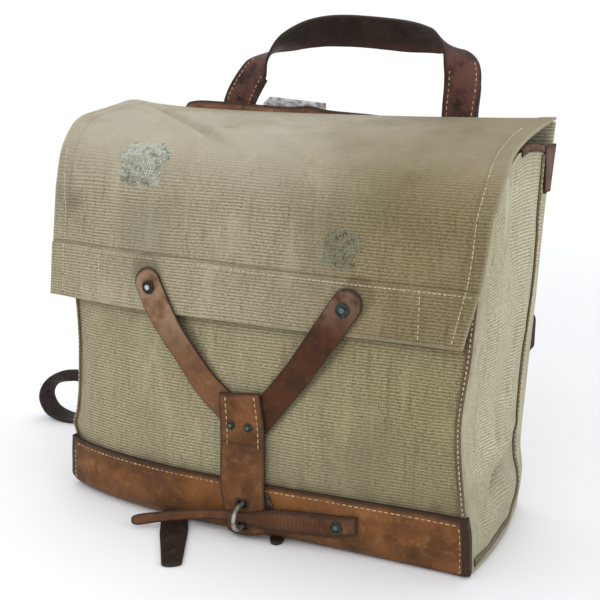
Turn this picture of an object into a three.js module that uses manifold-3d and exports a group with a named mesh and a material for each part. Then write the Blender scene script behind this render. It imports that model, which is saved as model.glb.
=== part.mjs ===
// A canvas bread bag with a leather base, a leather carrying handle and a Y-shaped leather closure.
// Millimetres, +Z up. X runs to the right as seen from the front, Y to the back, and the bag stands on z = 0.

import * as THREE from "three";
import Module from "manifold-3d";

const library = await Module();
library.setup();
const { Manifold, Mesh } = library;

// Driving sizes of the body
const BODY_WIDTH = 330;
const BODY_DEPTH = 125;
const BODY_HEIGHT = 295;
const FRONT_BULGE = 17;
const GUSSET_BELLY = 5;
const GUSSET_DENT = 4;
const FRONT_PANEL_TOP = 248;
const CANVAS = 1.6;
const LEATHER = 2.4;
const THIN_LEATHER = 1.8;
const GAP = 0.35;

// Driving sizes of the flap and the leather base
const FLAP_TURN = 243;
const FLAP_BOTTOM = 159.5;
const FLAP_LIFT = 4;
const FLAP_FLARE = 2;
const STRIP_HEIGHT = 43;
const BASE_ROUND = 12;
const BASE_EDGE = 1.2;

// Driving sizes of the closure
const ARM_WIDTH = 21;
const ARM_TOP = 191;
const TAB_WIDTH = 34;
const TAB_TOP = 109;
const TAB_BOTTOM = 3.5;
const TONGUE_WIDTH = 16.4;
const TONGUE_THICK = 1.8;
const STAPLE_WIRE = 3.4;
const STAPLE_REACH = 13;
const STAPLE_HEIGHT = 17;
const STAPLE_X = 4.6;
const STAPLE_Z = 19.3;
const SLOT_WIDTH = 7.2;
const SLOT_HEIGHT = 5.4;
const PLATE_WIDTH = 38;
const PLATE_HEIGHT = 33;
const PLATE_THICK = 1;
const RIVET_RADIUS = 5;
const SMALL_RIVET_RADIUS = 3.2;
const TONGUE_RIVET_RADIUS = 4.3;
const RIVET_RISE = 1.6;

// Driving sizes of the handle and of what is sewn to the back
const HANDLE_WIDTH = 27;
const HANDLE_SPAN = 190;
const HANDLE_RISE = 61;
const HANDLE_CENTRE = 10;
const HANDLE_LEAN = 15;
const YOKE_DROP = 55;
const HOOK_THICK = 1.3;
const STRAP_WIDTH = 20;
const STRAP_REACH = 122;
const STRAP_RISE = 48;
const STRAP_HOLE = 3;
const LOOP_WIDTH = 27;
const LOOP_OPENING = 8;
const LOOP_OUT = 8;

const HALF_WIDTH = BODY_WIDTH / 2;
const HALF_DEPTH = BODY_DEPTH / 2;

// How far each side seam stands out, by height. rise is a share of BODY_HEIGHT, the rest of BODY_DEPTH.
const SEAMS = [
  { rise: 0.0, rightFront: 0.01, rightBack: 0.01, leftFront: 0.02, leftBack: 0.01 },
  { rise: 0.1, rightFront: 0.0, rightBack: 0.03, leftFront: 0.015, leftBack: 0.03 },
  { rise: 0.17, rightFront: -0.03, rightBack: 0.01, leftFront: 0.0, leftBack: 0.01 },
  { rise: 0.35, rightFront: -0.07, rightBack: 0.025, leftFront: -0.05, leftBack: 0.02 },
  { rise: 0.53, rightFront: -0.03, rightBack: 0.045, leftFront: -0.08, leftBack: 0.04 },
  { rise: 0.8, rightFront: 0.01, rightBack: 0.07, leftFront: -0.05, leftBack: 0.07 },
  { rise: 1.0, rightFront: 0.03, rightBack: 0.1, leftFront: -0.03, leftBack: 0.1 },
];

// How much of FRONT_BULGE the filled front shows, by height as a share of BODY_HEIGHT.
const FRONT_SWELL = [
  { rise: 0.0, swell: 1.0 },
  { rise: 0.15, swell: 1.0 },
  { rise: 0.35, swell: 0.78 },
  { rise: 0.52, swell: 0.53 },
  { rise: 0.7, swell: 0.25 },
  { rise: 0.83, swell: 0.0 },
  { rise: 1.0, swell: 0.0 },
];

// The top edge of a gusset. depth is a share of BODY_DEPTH from the front, rise of BODY_HEIGHT.
const GUSSET_TOP = [
  { depth: 0.0, rise: 0.814 },
  { depth: 0.04, rise: 0.84 },
  { depth: 0.1, rise: 0.874 },
  { depth: 0.18, rise: 0.9 },
  { depth: 0.3, rise: 0.924 },
  { depth: 0.5, rise: 0.944 },
  { depth: 0.7, rise: 0.945 },
  { depth: 1.0, rise: 0.926 },
];

// The flap from its back edge to where it turns down the front. run is the share of that way, depth a share
// of BODY_DEPTH from the middle, left and right shares of half the BODY_WIDTH, the rises of BODY_HEIGHT.
const FLAP_TOP = [
  { run: 0.0, depth: 0.5, left: -1.09, right: 1.075, leftRise: 1.017, middleRise: 0.994, rightRise: 1.003 },
  { run: 0.22, depth: 0.28, left: -1.065, right: 1.037, leftRise: 1.013, middleRise: 0.984, rightRise: 0.98 },
  { run: 0.45, depth: 0.0, left: -1.03, right: 1.037, leftRise: 1.0, middleRise: 0.968, rightRise: 0.963 },
  { run: 0.63, depth: -0.225, left: -0.995, right: 1.045, leftRise: 0.98, middleRise: 0.946, rightRise: 0.941 },
  { run: 0.78, depth: -0.39, left: -0.975, right: 1.06, leftRise: 0.95, middleRise: 0.918, rightRise: 0.913 },
  { run: 0.89, depth: -0.485, left: -0.975, right: 1.06, leftRise: 0.905, middleRise: 0.876, rightRise: 0.875 },
  { run: 1.0, depth: -0.532, left: -0.985, right: 1.043, leftRise: 0.824, middleRise: 0.824, rightRise: 0.824 },
];

// The flap's side edges down its front. fall is the share of the way down, the rest of half the BODY_WIDTH.
const FLAP_SIDES = [
  { fall: 0.0, left: -0.985, right: 1.043 },
  { fall: 0.5, left: -1.018, right: 1.012 },
  { fall: 1.0, left: -1.045, right: 0.952 },
];

// The closure arms from their rounded top end to the tab. x is a share of half the BODY_WIDTH, z of ARM_TOP.
const LEFT_ARM = [
  { x: -0.478, z: 0.997 },
  { x: -0.442, z: 0.93 },
  { x: -0.375, z: 0.832 },
  { x: -0.264, z: 0.69 },
  { x: -0.18, z: 0.59 },
  { x: -0.07, z: 0.505 },
  { x: 0.0, z: 0.455 },
];
const RIGHT_ARM = [
  { x: 0.52, z: 0.995 },
  { x: 0.468, z: 0.93 },
  { x: 0.39, z: 0.826 },
  { x: 0.282, z: 0.69 },
  { x: 0.17, z: 0.567 },
  { x: 0.07, z: 0.457 },
  { x: 0.025, z: 0.405 },
];

// The tab's middle line and width. fall is the share of the way down, x of half the BODY_WIDTH.
const TAB_LINE = [
  { fall: 0.0, x: 0.0, width: 0.93 },
  { fall: 0.25, x: 0.018, width: 1.0 },
  { fall: 0.6, x: 0.024, width: 1.02 },
  { fall: 0.83, x: 0.036, width: 0.97 },
  { fall: 1.0, x: 0.05, width: 0.92 },
];

// The closure tongue from its pointed tip to its sewn end. x is a share of half the BODY_WIDTH, z of
// STRIP_HEIGHT, width of TONGUE_WIDTH.
const TONGUE_LINE = [
  { x: -0.462, z: 0.16, width: 0.08 },
  { x: -0.43, z: 0.18, width: 0.4 },
  { x: -0.35, z: 0.24, width: 0.5 },
  { x: -0.18, z: 0.34, width: 0.49 },
  { x: -0.03, z: 0.41, width: 0.48 },
  { x: 0.055, z: 0.42, width: 0.5 },
  { x: 0.11, z: 0.43, width: 0.8 },
  { x: 0.18, z: 0.46, width: 1.0 },
  { x: 0.32, z: 0.465, width: 1.03 },
  { x: 0.45, z: 0.51, width: 0.98 },
  { x: 0.54, z: 0.58, width: 0.8 },
];

// The handle. along is a share of HANDLE_SPAN, back of HANDLE_LEAN and rise of HANDLE_RISE over the yoke.
// nx, ny and nz point out of its stitched grain side.
const HANDLE_LINE = [
  { along: -0.505, back: 0.02, rise: -0.54, nx: 0, ny: -1, nz: 0 },
  { along: -0.5, back: 0.02, rise: -0.2, nx: 0, ny: -1, nz: 0 },
  { along: -0.482, back: 0.06, rise: 0.1, nx: -0.05, ny: -1, nz: 0 },
  { along: -0.408, back: 0.24, rise: 0.5, nx: -0.3, ny: -0.9, nz: 0.1 },
  { along: -0.358, back: 0.44, rise: 0.68, nx: -0.7, ny: -0.45, nz: 0.5 },
  { along: -0.268, back: 0.7, rise: 0.86, nx: -0.5, ny: 0.35, nz: 0.8 },
  { along: -0.158, back: 0.9, rise: 0.97, nx: -0.15, ny: 0.72, nz: 0.68 },
  { along: -0.03, back: 1.0, rise: 1.0, nx: 0.0, ny: 0.85, nz: 0.52 },
  { along: 0.22, back: 0.92, rise: 0.94, nx: 0.05, ny: 0.85, nz: 0.52 },
  { along: 0.38, back: 0.7, rise: 0.87, nx: 0.25, ny: 0.6, nz: 0.75 },
  { along: 0.46, back: 0.5, rise: 0.76, nx: 0.75, ny: -0.2, nz: 0.6 },
  { along: 0.498, back: 0.3, rise: 0.57, nx: 0.55, ny: -0.8, nz: 0.25 },
  { along: 0.508, back: 0.12, rise: 0.36, nx: 0.2, ny: -0.98, nz: 0.05 },
  { along: 0.503, back: 0.04, rise: 0.1, nx: 0, ny: -1, nz: 0 },
  { along: 0.5, back: 0.02, rise: -0.2, nx: 0, ny: -1, nz: 0 },
  { along: 0.5, back: 0.02, rise: -0.54, nx: 0, ny: -1, nz: 0 },
];

// The top edge of the back yoke. x is a share of half the BODY_WIDTH, rise of BODY_HEIGHT.
const YOKE_TOP = [
  { x: -0.81, rise: 0.987 },
  { x: -0.77, rise: 1.015 },
  { x: -0.6, rise: 1.019 },
  { x: -0.34, rise: 1.012 },
  { x: -0.2, rise: 1.009 },
  { x: -0.1, rise: 1.013 },
  { x: 0.0, rise: 1.004 },
  { x: 0.23, rise: 0.996 },
  { x: 0.45, rise: 0.985 },
  { x: 0.76, rise: 0.98 },
];

// The rear strap from where it is sewn on, out to its loop on the floor and back. out is a share of
// STRAP_REACH beyond the body's left side, depth of BODY_DEPTH, rise of STRAP_RISE; nx, ny and nz point out.
const STRAP_LINE = [
  { out: -0.38, depth: 0.5, rise: 1.5, nx: 0, ny: 1, nz: 0 },
  { out: -0.15, depth: 0.5, rise: 1.46, nx: 0, ny: 1, nz: 0 },
  { out: 0.08, depth: 0.51, rise: 1.4, nx: 0, ny: 1, nz: 0 },
  { out: 0.3, depth: 0.48, rise: 1.25, nx: -0.05, ny: 0.75, nz: 0.65 },
  { out: 0.58, depth: 0.37, rise: 1.05, nx: -0.15, ny: 0.15, nz: 0.95 },
  { out: 0.78, depth: 0.31, rise: 1.0, nx: -0.35, ny: 0.0, nz: 0.93 },
  { out: 0.94, depth: 0.28, rise: 0.78, nx: -0.85, ny: 0.0, nz: 0.5 },
  { out: 1.0, depth: 0.275, rise: 0.45, nx: -1, ny: 0, nz: 0 },
  { out: 0.95, depth: 0.28, rise: 0.17, nx: -0.8, ny: 0, nz: -0.6 },
  { out: 0.82, depth: 0.29, rise: 0.02, nx: -0.2, ny: 0, nz: -0.98 },
  { out: 0.6, depth: 0.32, rise: 0.008, nx: 0, ny: 0, nz: -1 },
  { out: 0.3, depth: 0.4, rise: 0.008, nx: 0, ny: 0, nz: -1 },
  { out: 0.1, depth: 0.47, rise: 0.008, nx: 0, ny: 0, nz: -1 },
];

/** A number held between two limits. */
function held(value, low, high) {
  return Math.min(Math.max(value, low), high);
}

/** A smooth step from 0 at `from` to 1 at `to`. */
function ease(value, from, to) {
  const t = held((value - from) / (to - from), 0, 1);
  return t * t * (3 - 2 * t);
}

/** The value of a table's column where its key column is `at`, on a smooth curve through the rows. */
function follow(rows, key, column, at) {
  const last = rows.length - 1;
  const x = held(at, rows[0][key], rows[last][key]);
  let i = 0;
  while (i < last - 1 && x > rows[i + 1][key]) {
    i += 1;
  }
  const slope = (k) => {
    const before = rows[Math.max(k - 1, 0)];
    const after = rows[Math.min(k + 1, last)];
    return (after[column] - before[column]) / (after[key] - before[key]);
  };
  const step = rows[i + 1][key] - rows[i][key];
  const t = (x - rows[i][key]) / step;
  const start = rows[i][column] * (1 + 2 * t) * (1 - t) * (1 - t);
  const end = rows[i + 1][column] * t * t * (3 - 2 * t);
  const bends = slope(i) * t * (1 - t) * (1 - t) - slope(i + 1) * t * t * (1 - t);
  return start + end + bends * step;
}

/** Evenly spaced values from 0 to 1. */
function stations(count) {
  return Array.from({ length: count + 1 }, (_, i) => i / count);
}

/** The x of a gusset's outer face. side is 1 on the right and -1 on the left. */
function gussetX(side, y, z) {
  const rise = z / BODY_HEIGHT;
  const names = side > 0 ? ["rightFront", "rightBack"] : ["leftFront", "leftBack"];
  const [front, back] = names.map((name) => BODY_DEPTH * follow(SEAMS, "rise", name, rise));
  const share = held(y / BODY_DEPTH + 0.5, 0, 1);
  const belly = GUSSET_BELLY * Math.sin(Math.PI * share) * (1 - ease(rise, 0.6, 0.95));
  const pinch = Math.exp(-(((rise - 0.21) / 0.05) ** 2) - ((share - 0.55) / 0.3) ** 2);
  const dent = GUSSET_DENT * pinch * Math.sin(Math.PI * share);
  return side * (HALF_WIDTH + front + (back - front) * share + belly - dent);
}

/** The y of the canvas front's outer face. */
function frontY(x, z) {
  const share = held(x / BODY_WIDTH + 0.5, 0, 1);
  const across = Math.max(Math.sin(Math.PI * share ** 0.62), 0) ** 1.3;
  return -HALF_DEPTH - FRONT_BULGE * across * follow(FRONT_SWELL, "rise", "swell", z / BODY_HEIGHT);
}

/** The y of the flap's outer face on the front of the bag. */
function flapY(x, z) {
  const fall = held((FLAP_TURN - z) / (FLAP_TURN - FLAP_BOTTOM), 0, 1);
  return frontY(x, z) - FLAP_LIFT - FLAP_FLARE * fall;
}

/** The y of the base strip's outer face above its rounded edge. */
function stripY(x, z) {
  return frontY(x, z) - GAP - LEATHER;
}

/** The y on which the back of a closure arm lies: the flap, and below its edge the front. */
function armBedY(x, z) {
  const onFlap = flapY(x, Math.max(z, FLAP_BOTTOM)) - frontY(x, Math.max(z, FLAP_BOTTOM));
  const hold = ease(z, TAB_TOP, FLAP_BOTTOM);
  return frontY(x, z) - GAP + onFlap * hold;
}

/** The y on which the back of the closure tab lies: the arms, then the staple's plate. */
function tabBedY(x, z) {
  const overArms = LEATHER + 2 * GAP;
  const overPlate = LEATHER + PLATE_THICK + 3 * GAP;
  const plateTop = STAPLE_Z + PLATE_HEIGHT / 2;
  return frontY(x, z) - overPlate + (overPlate - overArms) * ease(z, plateTop + 4, plateTop + 20);
}

/** The y on which the back of the closure tongue lies: the strip on the right, the tab, then free. */
function tongueBedY(x, z) {
  const onStrip = LEATHER + 2 * GAP;
  const onTab = 2 * LEATHER + PLATE_THICK + 4 * GAP;
  const tabSide = TAB_WIDTH * 0.62;
  const free = held((-tabSide - x) / HALF_WIDTH, 0, 1);
  return frontY(x, z) - onTab + (onTab - onStrip) * ease(x, tabSide + 4, tabSide + 34) - 75 * free ** 1.25;
}

/** The height of the flap's back edge at x. */
function flapBackZ(x) {
  return flapPoint(held((x / HALF_WIDTH + 1.09) / 2.165, 0, 1), 0).z;
}

/** A point of the flap's outer face. u runs to the right, v from the back edge to the front's lower edge. */
function flapPoint(u, v) {
  if (v > FLAP_FOLD) {
    const fall = (v - FLAP_FOLD) / (1 - FLAP_FOLD);
    const left = follow(FLAP_SIDES, "fall", "left", fall);
    const right = follow(FLAP_SIDES, "fall", "right", fall);
    const x = HALF_WIDTH * (left + (right - left) * u);
    const z = FLAP_TURN + (FLAP_BOTTOM - FLAP_TURN) * fall;
    return new THREE.Vector3(x, flapY(x, z), z);
  }
  const run = v / FLAP_FOLD;
  const at = (column) => follow(FLAP_TOP, "run", column, run);
  const puff = (1 - u) ** (7 - 4.5 * ease(run, 0, 0.4));
  const corner = u ** 5;
  const rise = at("middleRise") + (at("leftRise") - at("middleRise")) * puff;
  const x = HALF_WIDTH * (at("left") + (at("right") - at("left")) * u);
  const z = BODY_HEIGHT * (rise + (at("rightRise") - at("middleRise")) * corner);
  const swell = frontY(x, Math.min(z, BODY_HEIGHT)) + HALF_DEPTH;
  return new THREE.Vector3(x, BODY_DEPTH * at("depth") + swell * ease(run, 0.8, 1), z);
}

const FLAP_FOLD = 0.62;

/** The unit normal of a surface, from its points close by. */
function normalOf(surface, u, v) {
  const near = 0.004;
  const [u0, u1] = [Math.max(u - near, 0), Math.min(u + near, 1)];
  const [v0, v1] = [Math.max(v - near, 0), Math.min(v + near, 1)];
  const across = surface(u1, v).sub(surface(u0, v));
  const along = surface(u, v1).sub(surface(u, v0));
  return across.cross(along).normalize();
}

/** A closed solid between a surface's outer face and the same surface at a depth below it. */
function slab(surface, us, vs, thickness) {
  const faces = [0, thickness].map((depth) => us.map((u) => vs.map((v) => surface(u, v, depth))));
  const positions = faces.flat(2).flatMap((point) => [point.x, point.y, point.z]);
  const [nu, nv] = [us.length, vs.length];
  const index = (face, i, j) => face * nu * nv + i * nv + j;
  const triangles = [];
  const quad = (a, b, c, d) => triangles.push(a, b, c, a, c, d);
  for (let i = 0; i < nu - 1; i += 1) {
    for (let j = 0; j < nv - 1; j += 1) {
      quad(index(0, i, j), index(0, i + 1, j), index(0, i + 1, j + 1), index(0, i, j + 1));
      quad(index(1, i, j), index(1, i, j + 1), index(1, i + 1, j + 1), index(1, i + 1, j));
    }
    quad(index(0, i, 0), index(1, i, 0), index(1, i + 1, 0), index(0, i + 1, 0));
    quad(index(0, i + 1, nv - 1), index(1, i + 1, nv - 1), index(1, i, nv - 1), index(0, i, nv - 1));
  }
  for (let j = 0; j < nv - 1; j += 1) {
    quad(index(0, 0, j + 1), index(1, 0, j + 1), index(1, 0, j), index(0, 0, j));
    quad(index(0, nu - 1, j), index(1, nu - 1, j), index(1, nu - 1, j + 1), index(0, nu - 1, j + 1));
  }
  return facingOut(positions, triangles);
}

/** A geometry of these triangles, turned to face out of the solid. */
function facingOut(positions, triangles) {
  const corner = (k) => new THREE.Vector3().fromArray(positions, 3 * triangles[k]);
  let volume = 0;
  for (let k = 0; k < triangles.length; k += 3) {
    volume += corner(k).dot(corner(k + 1).cross(corner(k + 2)));
  }
  const ordered = volume < 0 ? triangles.slice().reverse() : triangles;
  const geometry = new THREE.BufferGeometry();
  geometry.setAttribute("position", new THREE.Float32BufferAttribute(positions, 3));
  geometry.setIndex(ordered);
  geometry.computeVertexNormals();
  return geometry;
}

/** A geometry with other closed solids cut out of it. */
function cut(geometry, tools) {
  const solid = (shape) => {
    const mesh = new Mesh({
      numProp: 3,
      vertProperties: new Float32Array(shape.attributes.position.array),
      triVerts: new Uint32Array(shape.index.array),
    });
    mesh.merge();
    return new Manifold(mesh);
  };
  const left = tools.reduce((body, tool) => body.subtract(solid(tool)), solid(geometry)).getMesh();
  return facingOut(Array.from(left.vertProperties), Array.from(left.triVerts));
}

/** A strap laid on the front: a middle line in x and z, a width along it, and the y of its bed. */
function laidStrap({ line, widthAt, thickness, bedY, steps, columns, roundStart, roundEnd, endUpright }) {
  const curve = new THREE.CatmullRomCurve3(line.map((row) => new THREE.Vector3(row.x, 0, row.z)));
  const length = curve.getLength();
  const surface = (u, v, depth) => {
    const half = widthAt(u) / 2;
    const side = (2 * v - 1) * half;
    const curb = half - Math.sqrt(Math.max(half * half - side * side, 0));
    const start = (roundStart ? curb * roundStart : 0) / length;
    const end = 1 - (roundEnd ? curb * roundEnd : 0) / length;
    const share = held(start + (end - start) * u, 0, 1);
    const middle = curve.getPointAt(share);
    const tangent = curve.getTangentAt(share);
    const across = new THREE.Vector3(tangent.z, 0, -tangent.x);
    const lean = endUpright ? ease(u, 0.7, 1) : 0;
    const upright = new THREE.Vector3(0, 0, Math.sign(across.z));
    const direction = across.clone().lerp(upright, lean).normalize();
    const point = middle.addScaledVector(direction, side / direction.dot(across));
    return new THREE.Vector3(point.x, bedY(point.x, point.z) - thickness + depth, point.z);
  };
  return slab(surface, stations(steps), stations(columns), thickness);
}

/** A strap in space: rows with its middle, in position, and with nx, ny, nz out of its outer side. */
function freeStrap({ points, normals, width, thickness, steps, columns, ends, behind = 0 }) {
  const curve = new THREE.CatmullRomCurve3(points, false, "centripetal");
  const turn = new THREE.CatmullRomCurve3(normals, false, "centripetal");
  const count = points.length - 1;
  const surface = (u, v, depth) => {
    const [from, to] = ends ?? [0, 1];
    const share = from + (to - from) * u;
    const middle = curve.getPoint(share);
    const tangent = curve.getTangent(share);
    const out = turn.getPoint(share);
    const across = tangent.clone().cross(out).normalize();
    const normal = across.clone().cross(tangent).normalize();
    const off = thickness / 2 - depth - behind;
    return middle.addScaledVector(across, (v - 0.5) * width).addScaledVector(normal, off);
  };
  return slab(surface, stations(steps ?? count * 2), stations(columns ?? 1), thickness);
}

/** A domed rivet head whose flat side faces +Y, at the origin. */
function rivetHead(radius, rise) {
  const profile = [
    [0, 0],
    [radius, 0],
    [radius, rise * 0.4],
    [radius * 0.72, rise * 0.85],
    [radius * 0.3, rise],
    [0, rise],
  ];
  const geometry = new THREE.LatheGeometry(profile.map(([x, y]) => new THREE.Vector2(x, y)), 12);
  return geometry.rotateX(Math.PI);
}

/** A box between two corners, as an indexed geometry. */
function boxBetween(low, high) {
  const size = high.map((value, axis) => value - low[axis]);
  const geometry = new THREE.BoxGeometry(...size);
  return geometry.translate(...low.map((value, axis) => value + size[axis] / 2));
}

/** The material of one slot. */
function material(name, colour, roughness, metalness = 0) {
  const made = new THREE.MeshStandardMaterial({ color: colour, roughness, metalness });
  made.name = name;
  return made;
}

const CANVAS_FRONT = material("canvas_front", 0xa59b78, 0.95);
const CANVAS_FLAP = material("canvas_flap", 0xb0a387, 0.95);
const CANVAS_SIDE = material("canvas_side", 0xb8b490, 0.95);
const BROWN_LEATHER = material("brown_leather", 0x7d4b2d, 0.6);
const FADED_LEATHER = material("faded_leather", 0x785541, 0.65);
const HANDLE_LEATHER = material("handle_leather", 0x43271f, 0.6);
const DARK_LEATHER = material("dark_leather", 0x2f211b, 0.65);
const STEEL = material("steel", 0x8f9192, 0.4, 0.9);
const RIVET_METAL = material("rivet_metal", 0x3c5550, 0.6, 0.7);

const bag = new THREE.Group();

/** Adds one named piece to the bag. */
function add(name, geometry, slot, place = [0, 0, 0]) {
  const mesh = new THREE.Mesh(geometry, slot);
  mesh.name = name;
  mesh.position.set(...place);
  bag.add(mesh);
  return mesh;
}

/** The canvas front, from inside the base strip up to its hidden top edge. */
function frontPanel() {
  const surface = (u, v, depth) => {
    const z = BASE_ROUND + (FRONT_PANEL_TOP - BASE_ROUND) * v;
    const [left, right] = [-1, 1].map((side) => gussetX(side, -HALF_DEPTH, z));
    const x = left + (right - left) * u;
    return new THREE.Vector3(x, frontY(x, z) + depth, z);
  };
  return slab(surface, stations(16), stations(12), CANVAS);
}

/** One canvas gusset, between the front and back panels and on the base. */
function gusset(side) {
  const surface = (u, v, depth) => {
    const top = BODY_HEIGHT * follow(GUSSET_TOP, "depth", "rise", u);
    const bottom = LEATHER + GAP;
    const z = bottom + (top - bottom) * v;
    const inner = BASE_ROUND - LEATHER;
    const centre = -HALF_DEPTH - GAP - LEATHER + BASE_ROUND;
    const below = held(BASE_ROUND - z, 0, inner);
    const onRound = centre - Math.sqrt(inner * inner - below * below) + GAP;
    const front = Math.max(-HALF_DEPTH + CANVAS + GAP, onRound);
    const back = HALF_DEPTH - CANVAS - GAP;
    const y = front + (back - front) * u;
    return new THREE.Vector3(gussetX(side, y, z) - side * depth, y, z);
  };
  const low = [0, 0.008, 0.02, 0.038];
  const rows = [...low, ...stations(14).map((t) => 0.07 + 0.93 * t)];
  return slab(surface, stations(9), rows, CANVAS);
}

/** The canvas back, up to just under the flap's back edge. */
function backPanel() {
  const surface = (u, v, depth) => {
    const [left, right] = [-1, 1].map((side) => gussetX(side, HALF_DEPTH, BODY_HEIGHT * v));
    const x = left + (right - left) * u;
    const top = flapBackZ(x) - CANVAS - 3 * GAP;
    const bottom = LEATHER + GAP;
    return new THREE.Vector3(x, HALF_DEPTH - depth, bottom + (top - bottom) * v);
  };
  return slab(surface, stations(14), stations(8), CANVAS);
}

/** The flap: over the top and down the front. */
function flap() {
  const outer = (u, v) => flapPoint(u, v);
  const surface = (u, v, depth) => {
    const normal = normalOf(outer, u, v);
    const outward = normal.y - normal.z > 0 ? normal.negate() : normal;
    return flapPoint(u, v).addScaledVector(outward, -depth);
  };
  const top = stations(15).map((t) => t * FLAP_FOLD);
  const down = stations(6).slice(1).map((t) => FLAP_FOLD + t * (1 - FLAP_FOLD));
  return slab(surface, stations(26), [...top, ...down], CANVAS);
}

/** The leather base: a strip up the front, a rounded edge and a flat bottom. */
function leatherBase() {
  const strip = stations(3);
  const round = stations(6).slice(1).map((t) => 1 + t);
  const bottom = stations(4).slice(1).map((t) => 2 + t);
  const surface = (u, v, depth) => {
    const nominal = -HALF_DEPTH + BODY_DEPTH * held(v - 2, 0, 1);
    const high = v <= 1 ? STRIP_HEIGHT + (BASE_ROUND - STRIP_HEIGHT) * v : 0;
    const [left, right] = [-1, 1].map((side) => gussetX(side, nominal, high) + side * BASE_EDGE);
    const x = left + (right - left) * u;
    const front = stripY(x, high);
    if (v <= 1) {
      return new THREE.Vector3(x, front + depth, high);
    }
    if (v <= 2) {
      const angle = (Math.PI / 2) * (v - 1);
      const radius = BASE_ROUND - depth;
      const y = front + BASE_ROUND - radius * Math.cos(angle);
      return new THREE.Vector3(x, y, BASE_ROUND - radius * Math.sin(angle));
    }
    const start = front + BASE_ROUND;
    return new THREE.Vector3(x, start + (HALF_DEPTH - start) * (v - 2), depth);
  };
  return slab(surface, stations(16), [...strip, ...round, ...bottom], LEATHER);
}

/** The leather patch round the back corner on the right, under the flap. */
function cornerPatch() {
  const [low, high] = [0.828 * BODY_HEIGHT, 0.918 * BODY_HEIGHT];
  const surface = (u, v, depth) => {
    const z = low + (high - low) * v;
    const off = GAP + LEATHER - depth;
    const edge = gussetX(1, HALF_DEPTH, z) + off;
    if (u <= 0.5) {
      const y = HALF_DEPTH - 14 + (14 + off) * (2 * u);
      return new THREE.Vector3(gussetX(1, y, z) + off, y, z);
    }
    return new THREE.Vector3(edge - 30 * (2 * u - 1), HALF_DEPTH + off, z);
  };
  return slab(surface, stations(6), stations(4), LEATHER);
}

/** The leather yoke on the back, whose top edge shows over the flap. */
function backYoke() {
  const [from, to] = [YOKE_TOP[0].x, YOKE_TOP[YOKE_TOP.length - 1].x];
  const surface = (u, v, depth) => {
    const share = from + (to - from) * u;
    const top = BODY_HEIGHT * follow(YOKE_TOP, "x", "rise", share);
    const bottom = BODY_HEIGHT - YOKE_DROP;
    return new THREE.Vector3(HALF_WIDTH * share, YOKE_BACK - depth, bottom + (top - bottom) * v);
  };
  return slab(surface, stations(20), stations(1), LEATHER);
}

const YOKE_BACK = HALF_DEPTH + GAP + LEATHER;
const HANDLE_STEPS = 3;

/** The steel belt hook behind the yoke, with its turned right-hand end. */
function beltHook() {
  const left = -0.35 * HALF_WIDTH;
  const right = -0.02 * HALF_WIDTH;
  const top = 1.035 * BODY_HEIGHT;
  const drop = 0.16 * BODY_HEIGHT;
  const outline = new THREE.Shape();
  outline.moveTo(left, top - drop);
  outline.lineTo(right, top - drop);
  outline.lineTo(right, top - 4);
  outline.lineTo(left + 6, top);
  outline.lineTo(left, top - 5);
  const plate = new THREE.ExtrudeGeometry(outline, { depth: HOOK_THICK, bevelEnabled: false });
  return plate.rotateX(Math.PI / 2).translate(0, YOKE_BACK + GAP + HOOK_THICK, 0);
}

/** The handle's middle line and outward directions. */
function handleRows() {
  const base = YOKE_BACK + GAP + LEATHER / 2;
  const points = HANDLE_LINE.map((row) => {
    const x = HANDLE_CENTRE + HANDLE_SPAN * row.along;
    return new THREE.Vector3(x, base + HANDLE_LEAN * row.back, BODY_HEIGHT + HANDLE_RISE * row.rise);
  });
  const normals = HANDLE_LINE.map((row) => new THREE.Vector3(row.nx, row.ny, row.nz));
  return { points, normals };
}

/** The handle strap, from one foot over the grip to the other. */
function handle() {
  return freeStrap({
    ...handleRows(),
    width: HANDLE_WIDTH,
    thickness: LEATHER,
    steps: HANDLE_STEPS * (HANDLE_LINE.length - 1),
    columns: 2,
  });
}

/** The second layer of leather behind one end of the handle. */
function handleEnd(side) {
  const rows = 3;
  const reach = rows / (HANDLE_LINE.length - 1);
  return freeStrap({
    ...handleRows(),
    width: HANDLE_WIDTH,
    thickness: LEATHER,
    steps: HANDLE_STEPS * rows,
    columns: 2,
    ends: side < 0 ? [0, reach] : [1 - reach, 1],
    behind: LEATHER + GAP,
  });
}

/** One arm of the closure, laid over the flap and its lower edge. */
function closureArm(rows, endX) {
  const line = rows.map((row) => ({ x: HALF_WIDTH * row.x, z: ARM_TOP * row.z }));
  line[line.length - 1].x = endX;
  return laidStrap({
    line,
    widthAt: () => ARM_WIDTH,
    thickness: THIN_LEATHER + (LEATHER - THIN_LEATHER) * 0.5,
    bedY: armBedY,
    steps: 22,
    columns: 4,
    roundStart: 1,
    endUpright: true,
  });
}

/** The closure tab with the two slots that the staple's legs come through. */
function closureTab() {
  const line = TAB_LINE.map((row) => ({
    x: HALF_WIDTH * row.x,
    z: TAB_TOP + (TAB_BOTTOM - TAB_TOP) * row.fall,
  }));
  const tab = laidStrap({
    line,
    widthAt: (u) => TAB_WIDTH * follow(TAB_LINE, "fall", "width", u),
    thickness: LEATHER,
    bedY: tabBedY,
    steps: 16,
    columns: 8,
    roundEnd: 0.35,
  });
  const slots = [-1, 1].map((end) => {
    const z = STAPLE_Z + (end * STAPLE_HEIGHT) / 2;
    const [x, tall] = [STAPLE_X, SLOT_HEIGHT / 2];
    const deep = BODY_DEPTH;
    return boxBetween([x - SLOT_WIDTH / 2, -deep, z - tall], [x + SLOT_WIDTH / 2, 0, z + tall]);
  });
  return cut(tab, slots);
}

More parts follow.
